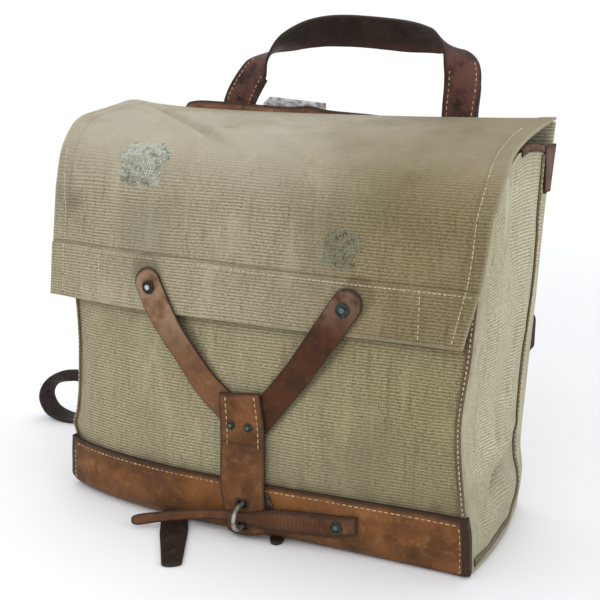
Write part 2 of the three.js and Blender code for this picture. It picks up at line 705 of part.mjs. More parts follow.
/** The steel staple that the tongue passes through, standing out of the tab. */
function staple() {
  const front = tabBedY(STAPLE_X, STAPLE_Z) - LEATHER;
  const foot = stripY(STAPLE_X, STAPLE_Z) - PLATE_THICK - 2 * GAP - 0.1;
  const half = STAPLE_HEIGHT / 2;
  const points = [new THREE.Vector3(STAPLE_X, foot, STAPLE_Z + half)];
  const turn = front - STAPLE_REACH + half;
  for (const t of stations(8)) {
    const angle = Math.PI * t;
    const y = turn - half * Math.sin(angle);
    points.push(new THREE.Vector3(STAPLE_X, y, STAPLE_Z + half * Math.cos(angle)));
  }
  points.push(new THREE.Vector3(STAPLE_X, foot, STAPLE_Z - half));
  const wire = new THREE.Shape();
  wire.absarc(0, 0, STAPLE_WIRE / 2, 0, 2 * Math.PI);
  const path = new THREE.CatmullRomCurve3(points, false, "centripetal");
  return new THREE.ExtrudeGeometry(wire, {
    steps: 24,
    curveSegments: 4,
    extrudePath: path,
    bevelEnabled: false,
  });
}

/** The steel plate that the staple is fixed to, on the base strip. */
function staplePlate() {
  const corner = 0.35;
  const surface = (u, v, depth) => {
    const [a, b] = [2 * u - 1, 2 * v - 1];
    const x = STAPLE_X + 3.5 + (PLATE_WIDTH / 2) * a * Math.sqrt(1 - corner * b * b);
    const z = STAPLE_Z + 4 + (PLATE_HEIGHT / 2) * b * Math.sqrt(1 - corner * a * a);
    return new THREE.Vector3(x, stripY(x, z) - GAP - PLATE_THICK + depth, z);
  };
  return slab(surface, stations(8), stations(8), PLATE_THICK);
}

/** The closure tongue, from its tip through the staple to its sewn end. */
function closureTongue() {
  const line = TONGUE_LINE.map((row) => ({ x: HALF_WIDTH * row.x, z: STRIP_HEIGHT * row.z }));
  const [from, to] = [line[0].x, line[line.length - 1].x];
  const surface = (u, v, depth) => {
    const x = from + (to - from) * u;
    const share = x / HALF_WIDTH;
    const middle = STRIP_HEIGHT * follow(TONGUE_LINE, "x", "z", share);
    const width = TONGUE_WIDTH * follow(TONGUE_LINE, "x", "width", share);
    const z = middle + (v - 0.5) * width;
    return new THREE.Vector3(x, tongueBedY(x, middle) - TONGUE_THICK + depth, z);
  };
  return slab(surface, stations(36), stations(2), TONGUE_THICK);
}

/** The rear strap, sewn to the back and curling into a loop on the floor at the left. */
function rearStrap() {
  const first = HALF_DEPTH + GAP + LEATHER / 2;
  const points = STRAP_LINE.map((row) => {
    const y = Math.min(BODY_DEPTH * row.depth + (row.depth >= 0.5 ? first - HALF_DEPTH : 0), first + 2);
    const x = -HALF_WIDTH - STRAP_REACH * row.out;
    const lift = row.nz < -0.9 ? LEATHER / 2 : 0;
    return new THREE.Vector3(x, y, STRAP_RISE * row.rise + lift);
  });
  const normals = STRAP_LINE.map((row) => new THREE.Vector3(row.nx, row.ny, row.nz));
  const strap = freeStrap({ points, normals, width: STRAP_WIDTH, thickness: LEATHER, steps: 44, columns: 2 });
  const holes = [0.87, 0.98].map((out, i) => {
    const rise = [0.95, 0.62][i] * STRAP_RISE;
    const x = -HALF_WIDTH - STRAP_REACH * out;
    const drill = new THREE.CylinderGeometry(STRAP_HOLE / 2, STRAP_HOLE / 2, 4 * LEATHER, 8);
    return drill.rotateZ(i ? Math.PI / 2 : Math.PI / 4).translate(x, BODY_DEPTH * 0.28, rise);
  });
  return cut(strap, holes);
}

/** The folded leather loop sewn to the back near the right seam. */
function rearLoop() {
  const inner = HALF_DEPTH + GAP + THIN_LEATHER / 2;
  const outer = inner + THIN_LEATHER + LOOP_OPENING;
  const fold = (outer - inner) / 2;
  const turn = HALF_WIDTH - fold + LOOP_OUT;
  const start = turn - 46;
  const flat = [start, turn - 30, turn - 15, turn].map((x) => [x, inner]);
  const bend = stations(6).slice(1, -1).map((t) => {
    const angle = Math.PI * (t - 0.5);
    return [turn + fold * Math.cos(angle), inner + fold + fold * Math.sin(angle)];
  });
  const close = inner + THIN_LEATHER + GAP;
  const back = [[turn, outer], [turn - 15, outer - 0.5], [turn - 32, close + 1.2], [start, close]];
  const points = [...flat, ...bend, ...back].map(([x, y]) => new THREE.Vector3(x, y, 0));
  const curve = new THREE.CatmullRomCurve3(points, false, "centripetal");
  const middle = 0.463 * BODY_HEIGHT;
  const surface = (u, v, depth) => {
    const place = curve.getPoint(u);
    const along = curve.getTangent(u);
    const out = new THREE.Vector3(along.y, -along.x, 0);
    const point = place.addScaledVector(out, THIN_LEATHER / 2 - depth);
    return new THREE.Vector3(point.x, point.y, middle + (v - 0.5) * LOOP_WIDTH);
  };
  return slab(surface, stations(26), stations(1), THIN_LEATHER);
}

/** A strap end lying flat on the floor from under the base's rounded edge, narrowing to its tip. */
function floorStrap(from, to, startWidth, endWidth, roundTip) {
  const start = new THREE.Vector2(...from);
  const along = new THREE.Vector2(...to).sub(start);
  const across = new THREE.Vector2(-along.y, along.x).normalize();
  const rootLine = new THREE.Vector2(Math.sign(across.x), 0);
  const surface = (u, v, depth) => {
    const side = 2 * v - 1;
    const curb = roundTip * (1 - Math.sqrt(1 - 0.9 * side * side));
    const share = u * (1 - curb / along.length());
    const width = startWidth + (endWidth - startWidth) * share;
    const direction = rootLine.clone().lerp(across, ease(share, 0, 0.4));
    const point = start.clone().addScaledVector(along, share).addScaledVector(direction, (side * width) / 2);
    const edge = (stripY(point.x, 0) - stripY(start.x, 0)) * (1 - share);
    return new THREE.Vector3(point.x, point.y + edge, LEATHER - depth);
  };
  return slab(surface, stations(6), stations(4), LEATHER);
}

add("front_panel", frontPanel(), CANVAS_FRONT);
add("gusset_left", gusset(-1), CANVAS_SIDE);
add("gusset_right", gusset(1), CANVAS_SIDE);
add("back_panel", backPanel(), CANVAS_SIDE);
add("flap", flap(), CANVAS_FLAP);
add("leather_base", leatherBase(), BROWN_LEATHER);
add("corner_patch", cornerPatch(), BROWN_LEATHER);
add("back_yoke", backYoke(), BROWN_LEATHER);
add("belt_hook", beltHook(), STEEL);
add("handle", handle(), HANDLE_LEATHER);
add("handle_end_left", handleEnd(-1), HANDLE_LEATHER);
add("handle_end_right", handleEnd(1), HANDLE_LEATHER);

const ARM_THICK = THIN_LEATHER + (LEATHER - THIN_LEATHER) * 0.5;
add("closure_arm_left", closureArm(LEFT_ARM, -GAP / 2), FADED_LEATHER);
add("closure_arm_right", closureArm(RIGHT_ARM, GAP / 2), FADED_LEATHER);
add("closure_tab", closureTab(), BROWN_LEATHER);
add("staple_plate", staplePlate(), STEEL);
add("staple", staple(), STEEL);
add("closure_tongue", closureTongue(), BROWN_LEATHER);

/** The y of a flat rivet's seat on a bed that slopes or bulges: the bed's foremost point under its rim. */
function seatY(bedY, x, z, radius) {
  const rim = [[0, 0], [radius, 0], [-radius, 0], [0, radius], [0, -radius]];
  return Math.min(...rim.map(([right, up]) => bedY(x + right, z + up)));
}

const armRivets = { left: LEFT_ARM[1], right: RIGHT_ARM[1] };
for (const [side, row] of Object.entries(armRivets)) {
  const [x, z] = [HALF_WIDTH * row.x, ARM_TOP * row.z];
  const head = rivetHead(RIVET_RADIUS, RIVET_RISE);
  add(`arm_rivet_${side}`, head, RIVET_METAL, [x, seatY(armBedY, x, z, RIVET_RADIUS) - ARM_THICK - GAP, z]);
}

for (const [side, x] of [["left", -5.5], ["right", 8]]) {
  const z = 0.78 * TAB_TOP;
  const head = rivetHead(SMALL_RIVET_RADIUS, RIVET_RISE);
  const seat = seatY(tabBedY, x, z, SMALL_RIVET_RADIUS) - LEATHER - GAP;
  add(`tab_rivet_${side}`, head, RIVET_METAL, [x, seat, z]);
}

const tongueEnd = { x: 0.452 * HALF_WIDTH, z: 0.51 * STRIP_HEIGHT };
const tongueSeat = seatY(tongueBedY, tongueEnd.x, tongueEnd.z, TONGUE_RIVET_RADIUS) - TONGUE_THICK - GAP;
add("tongue_rivet", rivetHead(TONGUE_RIVET_RADIUS, RIVET_RISE), RIVET_METAL, [
  tongueEnd.x,
  tongueSeat,
  tongueEnd.z,
]);

const footCurve = new THREE.CatmullRomCurve3(handleRows().points, false, "centripetal");
const foot = footCurve.getPoint(2.15 / (HANDLE_LINE.length - 1));
const footSeat = foot.y - LEATHER / 2 - 2 * GAP;
add("handle_rivet", rivetHead(SMALL_RIVET_RADIUS, 1.2), RIVET_METAL, [foot.x, footSeat, foot.z]);

add("rear_strap", rearStrap(), DARK_LEATHER);
add("rear_loop", rearLoop(), DARK_LEATHER);

const underEdge = BASE_ROUND / 3;
const tongueRoot = -0.31 * HALF_WIDTH;
const rootY = stripY(tongueRoot, 0) + underEdge;
add("floor_tongue", floorStrap([tongueRoot, rootY], [-17, rootY - 62], 22, 13, 4), DARK_LEATHER);
const stubX = 0.18 * HALF_WIDTH;
const stubY = stripY(stubX, 0) + underEdge;
add("strap_stub", floorStrap([stubX, stubY], [stubX + 4, stubY - 10], 11, 10, 1), DARK_LEATHER);

export default bag;
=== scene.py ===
"""The finished surfaces of a canvas bread bag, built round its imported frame.

The bag's canvas, leather and metal pieces are surfaces worked out with numpy in millimetres, in the frame's
own axes (X right, Y back, Z up), and written as meshes in metres. Each solid of the frame is
replaced by one of them.
"""

from __future__ import annotations

import logging
import math
from collections.abc import Callable, Sequence
from dataclasses import dataclass, field
from enum import Enum

import bpy
import mathutils
import numpy as np
from bpy.types import Material, Node, NodeSocket, Object
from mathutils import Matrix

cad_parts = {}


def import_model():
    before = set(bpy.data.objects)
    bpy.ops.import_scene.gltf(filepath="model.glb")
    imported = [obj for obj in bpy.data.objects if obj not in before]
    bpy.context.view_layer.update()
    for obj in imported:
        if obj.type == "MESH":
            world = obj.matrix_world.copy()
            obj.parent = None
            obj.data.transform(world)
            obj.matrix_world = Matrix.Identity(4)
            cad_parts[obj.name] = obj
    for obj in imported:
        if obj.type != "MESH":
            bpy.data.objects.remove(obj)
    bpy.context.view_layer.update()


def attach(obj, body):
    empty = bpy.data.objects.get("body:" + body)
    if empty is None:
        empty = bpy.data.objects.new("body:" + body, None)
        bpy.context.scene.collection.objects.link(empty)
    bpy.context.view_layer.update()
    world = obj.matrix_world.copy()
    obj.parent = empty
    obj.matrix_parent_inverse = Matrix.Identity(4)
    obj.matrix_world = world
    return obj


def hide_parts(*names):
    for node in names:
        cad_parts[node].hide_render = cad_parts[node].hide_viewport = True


Array = np.ndarray
Bed = Callable[[Array, Array], Array]
Pair = tuple[float, float]
Triple = tuple[float, float, float]

LOG = logging.getLogger("bread_bag")
MM = 0.001
BODY = "root"
FAR = 20.0


class Side(Enum):
    """The two sides of the bag as seen from the front."""

    LEFT = -1
    RIGHT = 1


def ease(value: Array, start: float, end: float) -> Array:
    """A smooth step: 0 at start, 1 at end, with level ends.

    Args:
        value: Where to read the step.
        start: Where the step is 0.
        end: Where the step is 1.

    Returns:
        The step's values, t * t * (3 - 2 t) of the share t of the way.
    """
    share = np.clip((np.asarray(value, float) - start) / (end - start), 0, 1)
    return share * share * (3 - 2 * share)


def bell(value: Array, middle: float, width: float) -> Array:
    """A bell-shaped bump, exp(-((value - middle) / width) squared)."""
    return np.exp(-(((np.asarray(value, float) - middle) / width) ** 2))


def follow(table: Array, at: Array, column: int) -> Array:
    """Reads a column of a table on a smooth curve through its rows.

    Between two rows it is the cubic that meets both with the slope of the chord between their neighbours.

    Args:
        table: Rows whose first column is the key, ascending.
        at: Where to read it, in the key's units.
        column: The column to read.

    Returns:
        The values, in the shape of at.
    """
    keys, values = table[:, 0], table[:, column]
    order = np.arange(len(keys))
    before, after = np.maximum(order - 1, 0), np.minimum(order + 1, len(keys) - 1)
    slopes = (values[after] - values[before]) / (keys[after] - keys[before])
    x = np.clip(np.asarray(at, float), keys[0], keys[-1])
    i = np.clip(np.searchsorted(keys, x) - 1, 0, len(keys) - 2)
    step = keys[i + 1] - keys[i]
    t = (x - keys[i]) / step
    ends = values[i] * (1 + 2 * t) * (1 - t) ** 2 + values[i + 1] * t * t * (3 - 2 * t)
    return ends + step * (slopes[i] * t * (1 - t) ** 2 - slopes[i + 1] * t * t * (1 - t))


def spline(points: Array, at: Array) -> Array:
    """A centripetal Catmull-Rom curve through points.

    Args:
        points: The points that it passes through, one a row.
        at: Shares of the way, where each stretch between two points counts the same.

    Returns:
        A point for each share.
    """
    ends = np.vstack([2 * points[0] - points[1], points, 2 * points[-1] - points[-2]])
    place = np.clip(np.asarray(at, float), 0, 1) * (len(points) - 1)
    i = np.clip(np.floor(place).astype(int), 0, len(points) - 2)
    w = (place - i)[..., None]
    p0, p1, p2, p3 = ends[i], ends[i + 1], ends[i + 2], ends[i + 3]
    pairs = ((p0, p1), (p1, p2), (p2, p3))
    d0, d1, d2 = (np.sqrt(np.linalg.norm(b - a, axis=-1, keepdims=True)) for a, b in pairs)
    d1 = np.where(d1 < 1e-4, 1, d1)
    d0, d2 = np.where(d0 < 1e-4, d1, d0), np.where(d2 < 1e-4, d1, d2)
    t1 = ((p1 - p0) / d0 - (p2 - p0) / (d0 + d1) + (p2 - p1) / d1) * d1
    t2 = ((p2 - p1) / d1 - (p3 - p1) / (d1 + d2) + (p3 - p2) / d2) * d1
    return p1 + w * t1 + w * w * (3 * (p2 - p1) - 2 * t1 - t2) + w**3 * (2 * (p1 - p2) + t1 + t2)


def way_gone(points: Array) -> Array:
    """The way gone at each point of a path."""
    return np.concatenate([[0], np.cumsum(np.linalg.norm(np.diff(points, axis=0), axis=1))])


def evenly(points: Array, count: int) -> Array:
    """Points at even distances along a path of points.

    Args:
        points: The path's points, one a row.
        count: How many points are wanted.

    Returns:
        The points, the first and the last among them.
    """
    gone = way_gone(points)
    at = np.linspace(0, gone[-1], count)
    return np.stack([np.interp(at, gone, points[:, axis]) for axis in range(points.shape[1])], 1)


def unit(vectors: Array) -> Array:
    """The same directions at length 1."""
    return vectors / np.maximum(np.linalg.norm(vectors, axis=-1, keepdims=True), 1e-12)


def xyz(*parts: Array) -> Array:
    """Places from their coordinates."""
    return np.stack(parts, -1)


def laid_on(along: Array, out: Array) -> Array:
    """Directions laid flat on surfaces with the normals out."""
    return unit(along - out * (along * out).sum(1, keepdims=True))


def heading(points: Array, share: Array) -> Array:
    """The direction of a curve through points at shares of its way."""
    return unit(spline(points, np.minimum(share + 0.001, 1)) - spline(points, np.maximum(share - 0.001, 0)))


def ripple(s: Array, t: Array, wave: float, seed: int, terms: int = 7) -> Array:
    """Soft irregular waves: a sum of sine waves in random directions, from about -1 to 1.

    Args:
        s: First coordinate, in millimetres.
        t: Second coordinate, in millimetres.
        wave: The typical wavelength, in millimetres.
        seed: Seed of the directions and phases.
        terms: How many waves are summed.

    Returns:
        The sum, in the shape of s and t.
    """
    draw = np.random.default_rng(seed)
    total = np.zeros(np.broadcast(s, t).shape)
    for _ in range(terms):
        angle, phase = draw.uniform(0, 2 * math.pi, 2)
        number = 2 * math.pi / (wave * draw.uniform(0.7, 1.5))
        total += np.sin(number * (s * math.cos(angle) + t * math.sin(angle)) + phase)
    return total / math.sqrt(terms) * 0.8


def chart(*rows: tuple[float, ...]) -> Array:
    """A dataclass field that starts as the array of its rows."""
    return field(default_factory=lambda: np.array(rows, float))


@dataclass(frozen=True)
class BagForm:
    """The bag's shape, in millimetres: the beds that its straps lie on and the faces of its canvas."""

    width: float = 330
    depth: float = 125
    height: float = 295
    bulge: float = 17
    belly: float = 5
    dent: float = 4
    front_top: float = 248
    canvas: float = 1.6
    leather: float = 2.4
    gap: float = 0.35
    flap_turn: float = 243
    flap_bottom: float = 159.5
    flap_lift: float = 4
    flap_flare: float = 2
    flap_fold: float = 0.62
    strip: float = 43
    round: float = 12
    edge: float = 1.2
    tab_top: float = 109
    tab_width: float = 34
    plate_thick: float = 1
    plate_height: float = 33
    staple_z: float = 19.3
    uprights: Pair = (-121.5, 127.5)

    # rise of the height, then how far the right and left seams stand out, as shares of the depth
    seams: Array = chart(
        (0, 0.01, 0.01, 0.02, 0.01), (0.1, 0, 0.03, 0.015, 0.03), (0.17, -0.03, 0.01, 0, 0.01),
        (0.35, -0.07, 0.025, -0.05, 0.02), (0.53, -0.03, 0.045, -0.08, 0.04),
        (0.8, 0.01, 0.07, -0.05, 0.07), (1, 0.03, 0.1, -0.03, 0.1),
    )
    # height, then how far the left gusset's front edge is tucked in
    left_tuck: Array = chart(
        (0, 2.5), (28, 3), (42, 5), (46, 3.5), (53, 0.5), (64, 3.5), (80, 4.4), (120, 3.4), (165, 0),
    )
    # rise of the height, then the share of the bulge
    swell: Array = chart(
        (0, 1), (0.15, 1), (0.35, 0.78), (0.52, 0.53), (0.7, 0.25), (0.83, 0), (1, 0),
    )
    # depth from the front as a share of the depth, then rise of the height
    gusset_top: Array = chart(
        (0, 0.814), (0.04, 0.84), (0.1, 0.874), (0.18, 0.9), (0.3, 0.924), (0.5, 0.944), (0.7, 0.945),
        (1, 0.926),
    )
    # run to the turn, depth share, left and right edges of half the width, left, middle and right rise
    flap_top: Array = chart(
        (0, 0.5, -1.09, 1.075, 1.017, 0.994, 1.003), (0.22, 0.28, -1.065, 1.037, 1.013, 0.984, 0.98),
        (0.45, 0, -1.03, 1.037, 1, 0.968, 0.963), (0.63, -0.225, -0.995, 1.045, 0.98, 0.946, 0.941),
        (0.78, -0.39, -0.975, 1.06, 0.95, 0.918, 0.913), (0.89, -0.485, -0.975, 1.06, 0.905, 0.876, 0.875),
        (1, -0.532, -0.985, 1.043, 0.824, 0.824, 0.824),
    )
    # fall down the front, then left and right edges of half the width
    flap_sides: Array = chart(
        (0, -0.985, 1.043), (0.5, -1.018, 1.012), (1, -1.045, 0.952),
    )

    @property
    def half_width(self) -> float:
        """Half the body's width."""
        return self.width / 2

    @property
    def half_depth(self) -> float:
        """Half the body's depth."""
        return self.depth / 2

    @property
    def yoke_back(self) -> float:
        """The y of the back yoke's outer face."""
        return self.half_depth + self.gap + self.leather

    def gusset_x(self, side: Side, y: Array, z: Array) -> Array:
        """The x of a gusset's outer face: the seams' sway, a belly between them and a pinch low down.

        Args:
            side: The side of the bag.
            y: Places along the depth.
            z: Heights.

        Returns:
            The x of each place.
        """
        rise = z / self.height
        columns = (1, 2) if side is Side.RIGHT else (3, 4)
        front, back = (self.depth * follow(self.seams, rise, column) for column in columns)
        share = np.clip(y / self.depth + 0.5, 0, 1)
        arch = np.sin(math.pi * share)
        belly = self.belly * arch * (1 - ease(rise, 0.6, 0.95))
        pinch = np.exp(-(((rise - 0.2) / 0.05) ** 2) - ((share - 0.55) / 0.3) ** 2)
        tuck = np.interp(z, *self.left_tuck.T) * (1 - share) * (side is Side.LEFT)
        out = self.half_width + front + (back - front) * share + belly - self.dent * pinch * arch
        return side.value * (out - tuck)

    def seams_x(self, y: float | Array, z: Array) -> tuple[Array, ...]:
        """The x of the left and the right gusset's outer faces."""
        return tuple(self.gusset_x(side, np.broadcast_to(y, np.shape(z)), z) for side in Side)

    def round_at(self, x: Array) -> Array:
        """The radius of the base's rounded lower edge, smaller to the right."""
        return self.round - 7 * ease(x, 40, 165)

    def front_y(self, x: Array, z: Array) -> Array:
        """The y of the canvas front: flat at the seams, bulging most low down and left of the middle.

        Soft waves of up to a millimetre, still at the seams, are added to the bulge.

        Args:
            x, z: Places across and up.

        Returns:
            The y of each place.
        """
        share = np.clip(x / self.width + 0.5, 0, 1)
        arch = np.maximum(np.sin(math.pi * share**0.62), 0)
        bulge = self.bulge * arch**1.3 * follow(self.swell, z / self.height, 1)
        waves = 0.9 * ripple(x, z * 0.6, 75, 11) * arch * ease(z, 44, 80)
        return -self.half_depth - bulge + waves

    def band_z(self, x: Array) -> Array:
        """The height of the sewn facing's top edge on the flap, a little lower to the right."""
        return 200.5 - 4.0 * ease(x, -165, 100)

    def flap_y(self, x: Array, z: Array) -> Array:
        """The y of the flap's outer face where it hangs down the front, a step prouder over its facing.

        Args:
            x, z: Places across and up.

        Returns:
            The y of each place.
        """
        fall = np.clip((self.flap_turn - z) / (self.flap_turn - self.flap_bottom), 0, 1)
        facing = 1.1 * ease(self.band_z(x) - z, -0.7, 0.7)
        facing = facing - 0.4 * sum(bell(x, at, 1.3) for at in self.uprights) * (facing > 1)
        sway = 1.1 * ripple(x, z * 0.3, 110, 5) * fall
        return self.front_y(x, z) - self.flap_lift - self.flap_flare * fall - facing + sway

    def strip_y(self, x: Array, z: Array) -> Array:
        """The y of the base strip's outer face above its rounded edge."""
        return self.front_y(x, z) - self.gap - self.leather

    def arm_bed(self, x: Array, z: Array) -> Array:
        """The y under a closure arm: on the flap, then easing down to the canvas front.

        Args:
            x, z: Places across and up.

        Returns:
            The y of each place.
        """
        above = np.maximum(z, self.flap_bottom)
        on_flap = self.flap_y(x, above) - self.front_y(x, above)
        return self.front_y(x, z) - self.gap + on_flap * ease(z, self.tab_top, self.flap_bottom)

    def tab_bed(self, x: Array, z: Array) -> Array:
        """The y under the closure tab: on the arms, then on the staple's plate.

        Args:
            x, z: Places across and up.

        Returns:
            The y of each place.
        """
        over_arms = self.leather + 2 * self.gap
        over_plate = self.leather + self.plate_thick + 3 * self.gap
        top = self.staple_z + self.plate_height / 2
        return self.front_y(x, z) - over_plate + (over_plate - over_arms) * ease(z, top + 4, top + 20)

    def tongue_bed(self, x: Array, z: Array) -> Array:
        """The y under the closure tongue: the strip on the right, the tab, then free to the left.

        Args:
            x, z: Places across and up.

        Returns:
            The y of each place.
        """
        on_strip = self.leather + 2 * self.gap
        on_tab = 2 * self.leather + self.plate_thick + 4 * self.gap
        side = self.tab_width * 0.62
        free = np.clip((-side - x) / self.half_width, 0, 1)
        lie = (on_tab - on_strip) * ease(x, side + 4, side + 34)
        return self.front_y(x, z) - on_tab + lie - 75 * free**1.25

    def flap_point(self, u: Array, v: Array) -> Array:
        """Points of the flap's outer face.

        Args:
            u: Shares of the way from the left edge to the right.
            v: Shares of the way from the back edge to the lower edge on the front.

        Returns:
            The points, with x, y and z last: first over the top by the table, then down the front.
        """
        fall = np.clip((v - self.flap_fold) / (1 - self.flap_fold), 0, 1)
        left, right = (follow(self.flap_sides, fall, column) for column in (1, 2))
        x_down = self.half_width * (left + (right - left) * u)
        z_down = self.flap_turn + (self.flap_bottom - self.flap_turn) * fall
        down = xyz(x_down, self.flap_y(x_down, z_down), z_down)
        run = np.clip(v / self.flap_fold, 0, 1)
        depth, start, end, low, middle, high = (follow(self.flap_top, run, column) for column in range(1, 7))
        puff = (1 - u) ** (7 - 4.5 * ease(run, 0, 0.4))
        rise = middle + (low - middle) * puff + (high - middle) * u**5
        x = self.half_width * (start + (end - start) * u)
        z = self.height * rise
        swell = self.front_y(x, np.minimum(z, self.height)) + self.half_depth
        over = xyz(x, self.depth * depth + swell * ease(run, 0.8, 1), z)
        return np.where((v > self.flap_fold)[..., None], down, over)


BAG = BagForm()


class Graph:
    """A material's node tree, with a short call for each kind of node that the bag's finishes use."""

    def __init__(self, name: str) -> None:
        """Starts a material with a Principled shader.

        Args:
            name: The material's name.
        """
        self.material = bpy.data.materials.new(name)
        self.material.use_nodes = True
        self.tree = self.material.node_tree
        self.shader = self.tree.nodes["Principled BSDF"]

    def feed(self, node: Node, values: dict[int | str, object]) -> None:
        """Feeds a node's inputs: a socket is linked, a value is set and None is passed over.

        Args:
            node: The node.
            values: What each input is fed, by its name or number.
        """
        for key, value in values.items():
            if isinstance(value, NodeSocket):
                self.tree.links.new(value, node.inputs[key])
            elif value is not None:
                node.inputs[key].default_value = value

    def add(
        self, kind: str, values: dict[int | str, object], out: int | str = 0, **settings: object
    ) -> NodeSocket:
        """Adds a node and feeds its inputs.

        Args:
            kind: The node's type.
            values: What each input is fed, by its name or number.
            out: The output that is wanted.
            settings: The node's own settings.

        Returns:
            The output.
        """
        node = self.tree.nodes.new(kind)
        for key, value in settings.items():
            setattr(node, key, value)
        self.feed(node, values)
        return node.outputs[out]

    def math(self, kind: str, *values: object) -> NodeSocket:
        """The result of a Math node."""
        return self.add("ShaderNodeMath", dict(enumerate(values)), operation=kind)

    def times(self, first: object, second: object) -> NodeSocket:
        """Two values multiplied."""
        return self.math("MULTIPLY", first, second)

    def plus(self, first: object, second: object) -> NodeSocket:
        """Two values added."""
        return self.math("ADD", first, second)

    def stretch(self, *values: object) -> NodeSocket:
        """A value mapped by a smooth step from the range that follows it to a second range, or to 0 and 1."""
        ends = dict(enumerate((*values, 0, 1)[:5]))
        return self.add("ShaderNodeMapRange", ends, interpolation_type="SMOOTHSTEP")

    def mix(self, share: object, first: object, second: object, kind: str = "MIX") -> NodeSocket:
        """Two colours mixed: the node takes the share at 0, its colours at 6 and 7, and gives one at 2."""
        values = {0: share, 6: self.colour(first), 7: self.colour(second)}
        return self.add("ShaderNodeMix", values, 2, data_type="RGBA", blend_type=kind)

    @staticmethod
    def colour(value: object) -> object:
        """A colour with its alpha, or the socket that was given."""
        return (*value, 1.0) if isinstance(value, tuple) and len(value) == 3 else value

    def noise(self, where: object, scale: float, detail: float = 3, rough: float = 0.55) -> NodeSocket:
        """Noise at a number of lumps to the metre."""
        values = {"Vector": where, "Scale": scale, "Detail": detail, "Roughness": rough}
        return self.add("ShaderNodeTexNoise", values)

    def patches(self, low: float, high: float, where: object, *grain: float) -> NodeSocket:
        """Patches of noise: 0 where it is under low and 1 where it is over high."""
        return self.stretch(self.noise(where, *grain), low, high)

    def stain(self, below: object, where: object, strength: object, colour: object) -> NodeSocket:
        """A colour laid over another where a value is high, at a strength."""
        return self.mix(self.times(where, strength), below, colour)

    def object_place(self) -> NodeSocket:
        """The place on the object, in metres."""
        return self.add("ShaderNodeTexCoord", {}, "Object")

    def cloth_place(self) -> NodeSocket:
        """The place on the flat piece before it was bent, in metres, from its UV map."""
        return self.add("ShaderNodeUVMap", {}, uv_map="flat")

    def parts(self, where: object) -> tuple[NodeSocket, ...]:
        """The three coordinates of a place."""
        return tuple(self.add("ShaderNodeSeparateXYZ", {0: where}).node.outputs)

    def scaled(self, where: object, *scale: float) -> NodeSocket:
        """A place with its axes scaled, the last by 1 if only two are given."""
        return self.add("ShaderNodeMapping", {"Vector": where, "Scale": (*scale, 1.0)[:3]})

    def value_of(self, name: str) -> NodeSocket:
        """A float attribute of the mesh."""
        return self.add("ShaderNodeAttribute", {}, "Fac", attribute_name=name)

    def bump(self, height: object, distance: float, strength: float, below: object = None) -> NodeSocket:
        """A bump normal from a height."""
        values = {"Height": height, "Distance": distance, "Strength": strength, "Normal": below}
        return self.add("ShaderNodeBump", values)

    def finish(self, colour: object, roughness: object, normal: object, **fixed: float) -> Material:
        """Feeds the shader and hands over the material.

        Args:
            colour: The base colour.
            roughness: The roughness.
            normal: The normal, or None.
            fixed: Other inputs, by their names with underscores.

        Returns:
            The material.
        """
        values = {"Base Color": self.colour(colour), "Roughness": roughness, "Normal": normal}
        values |= {name.replace("_", " "): value for name, value in fixed.items()}
        self.feed(self.shader, values)
        return self.material


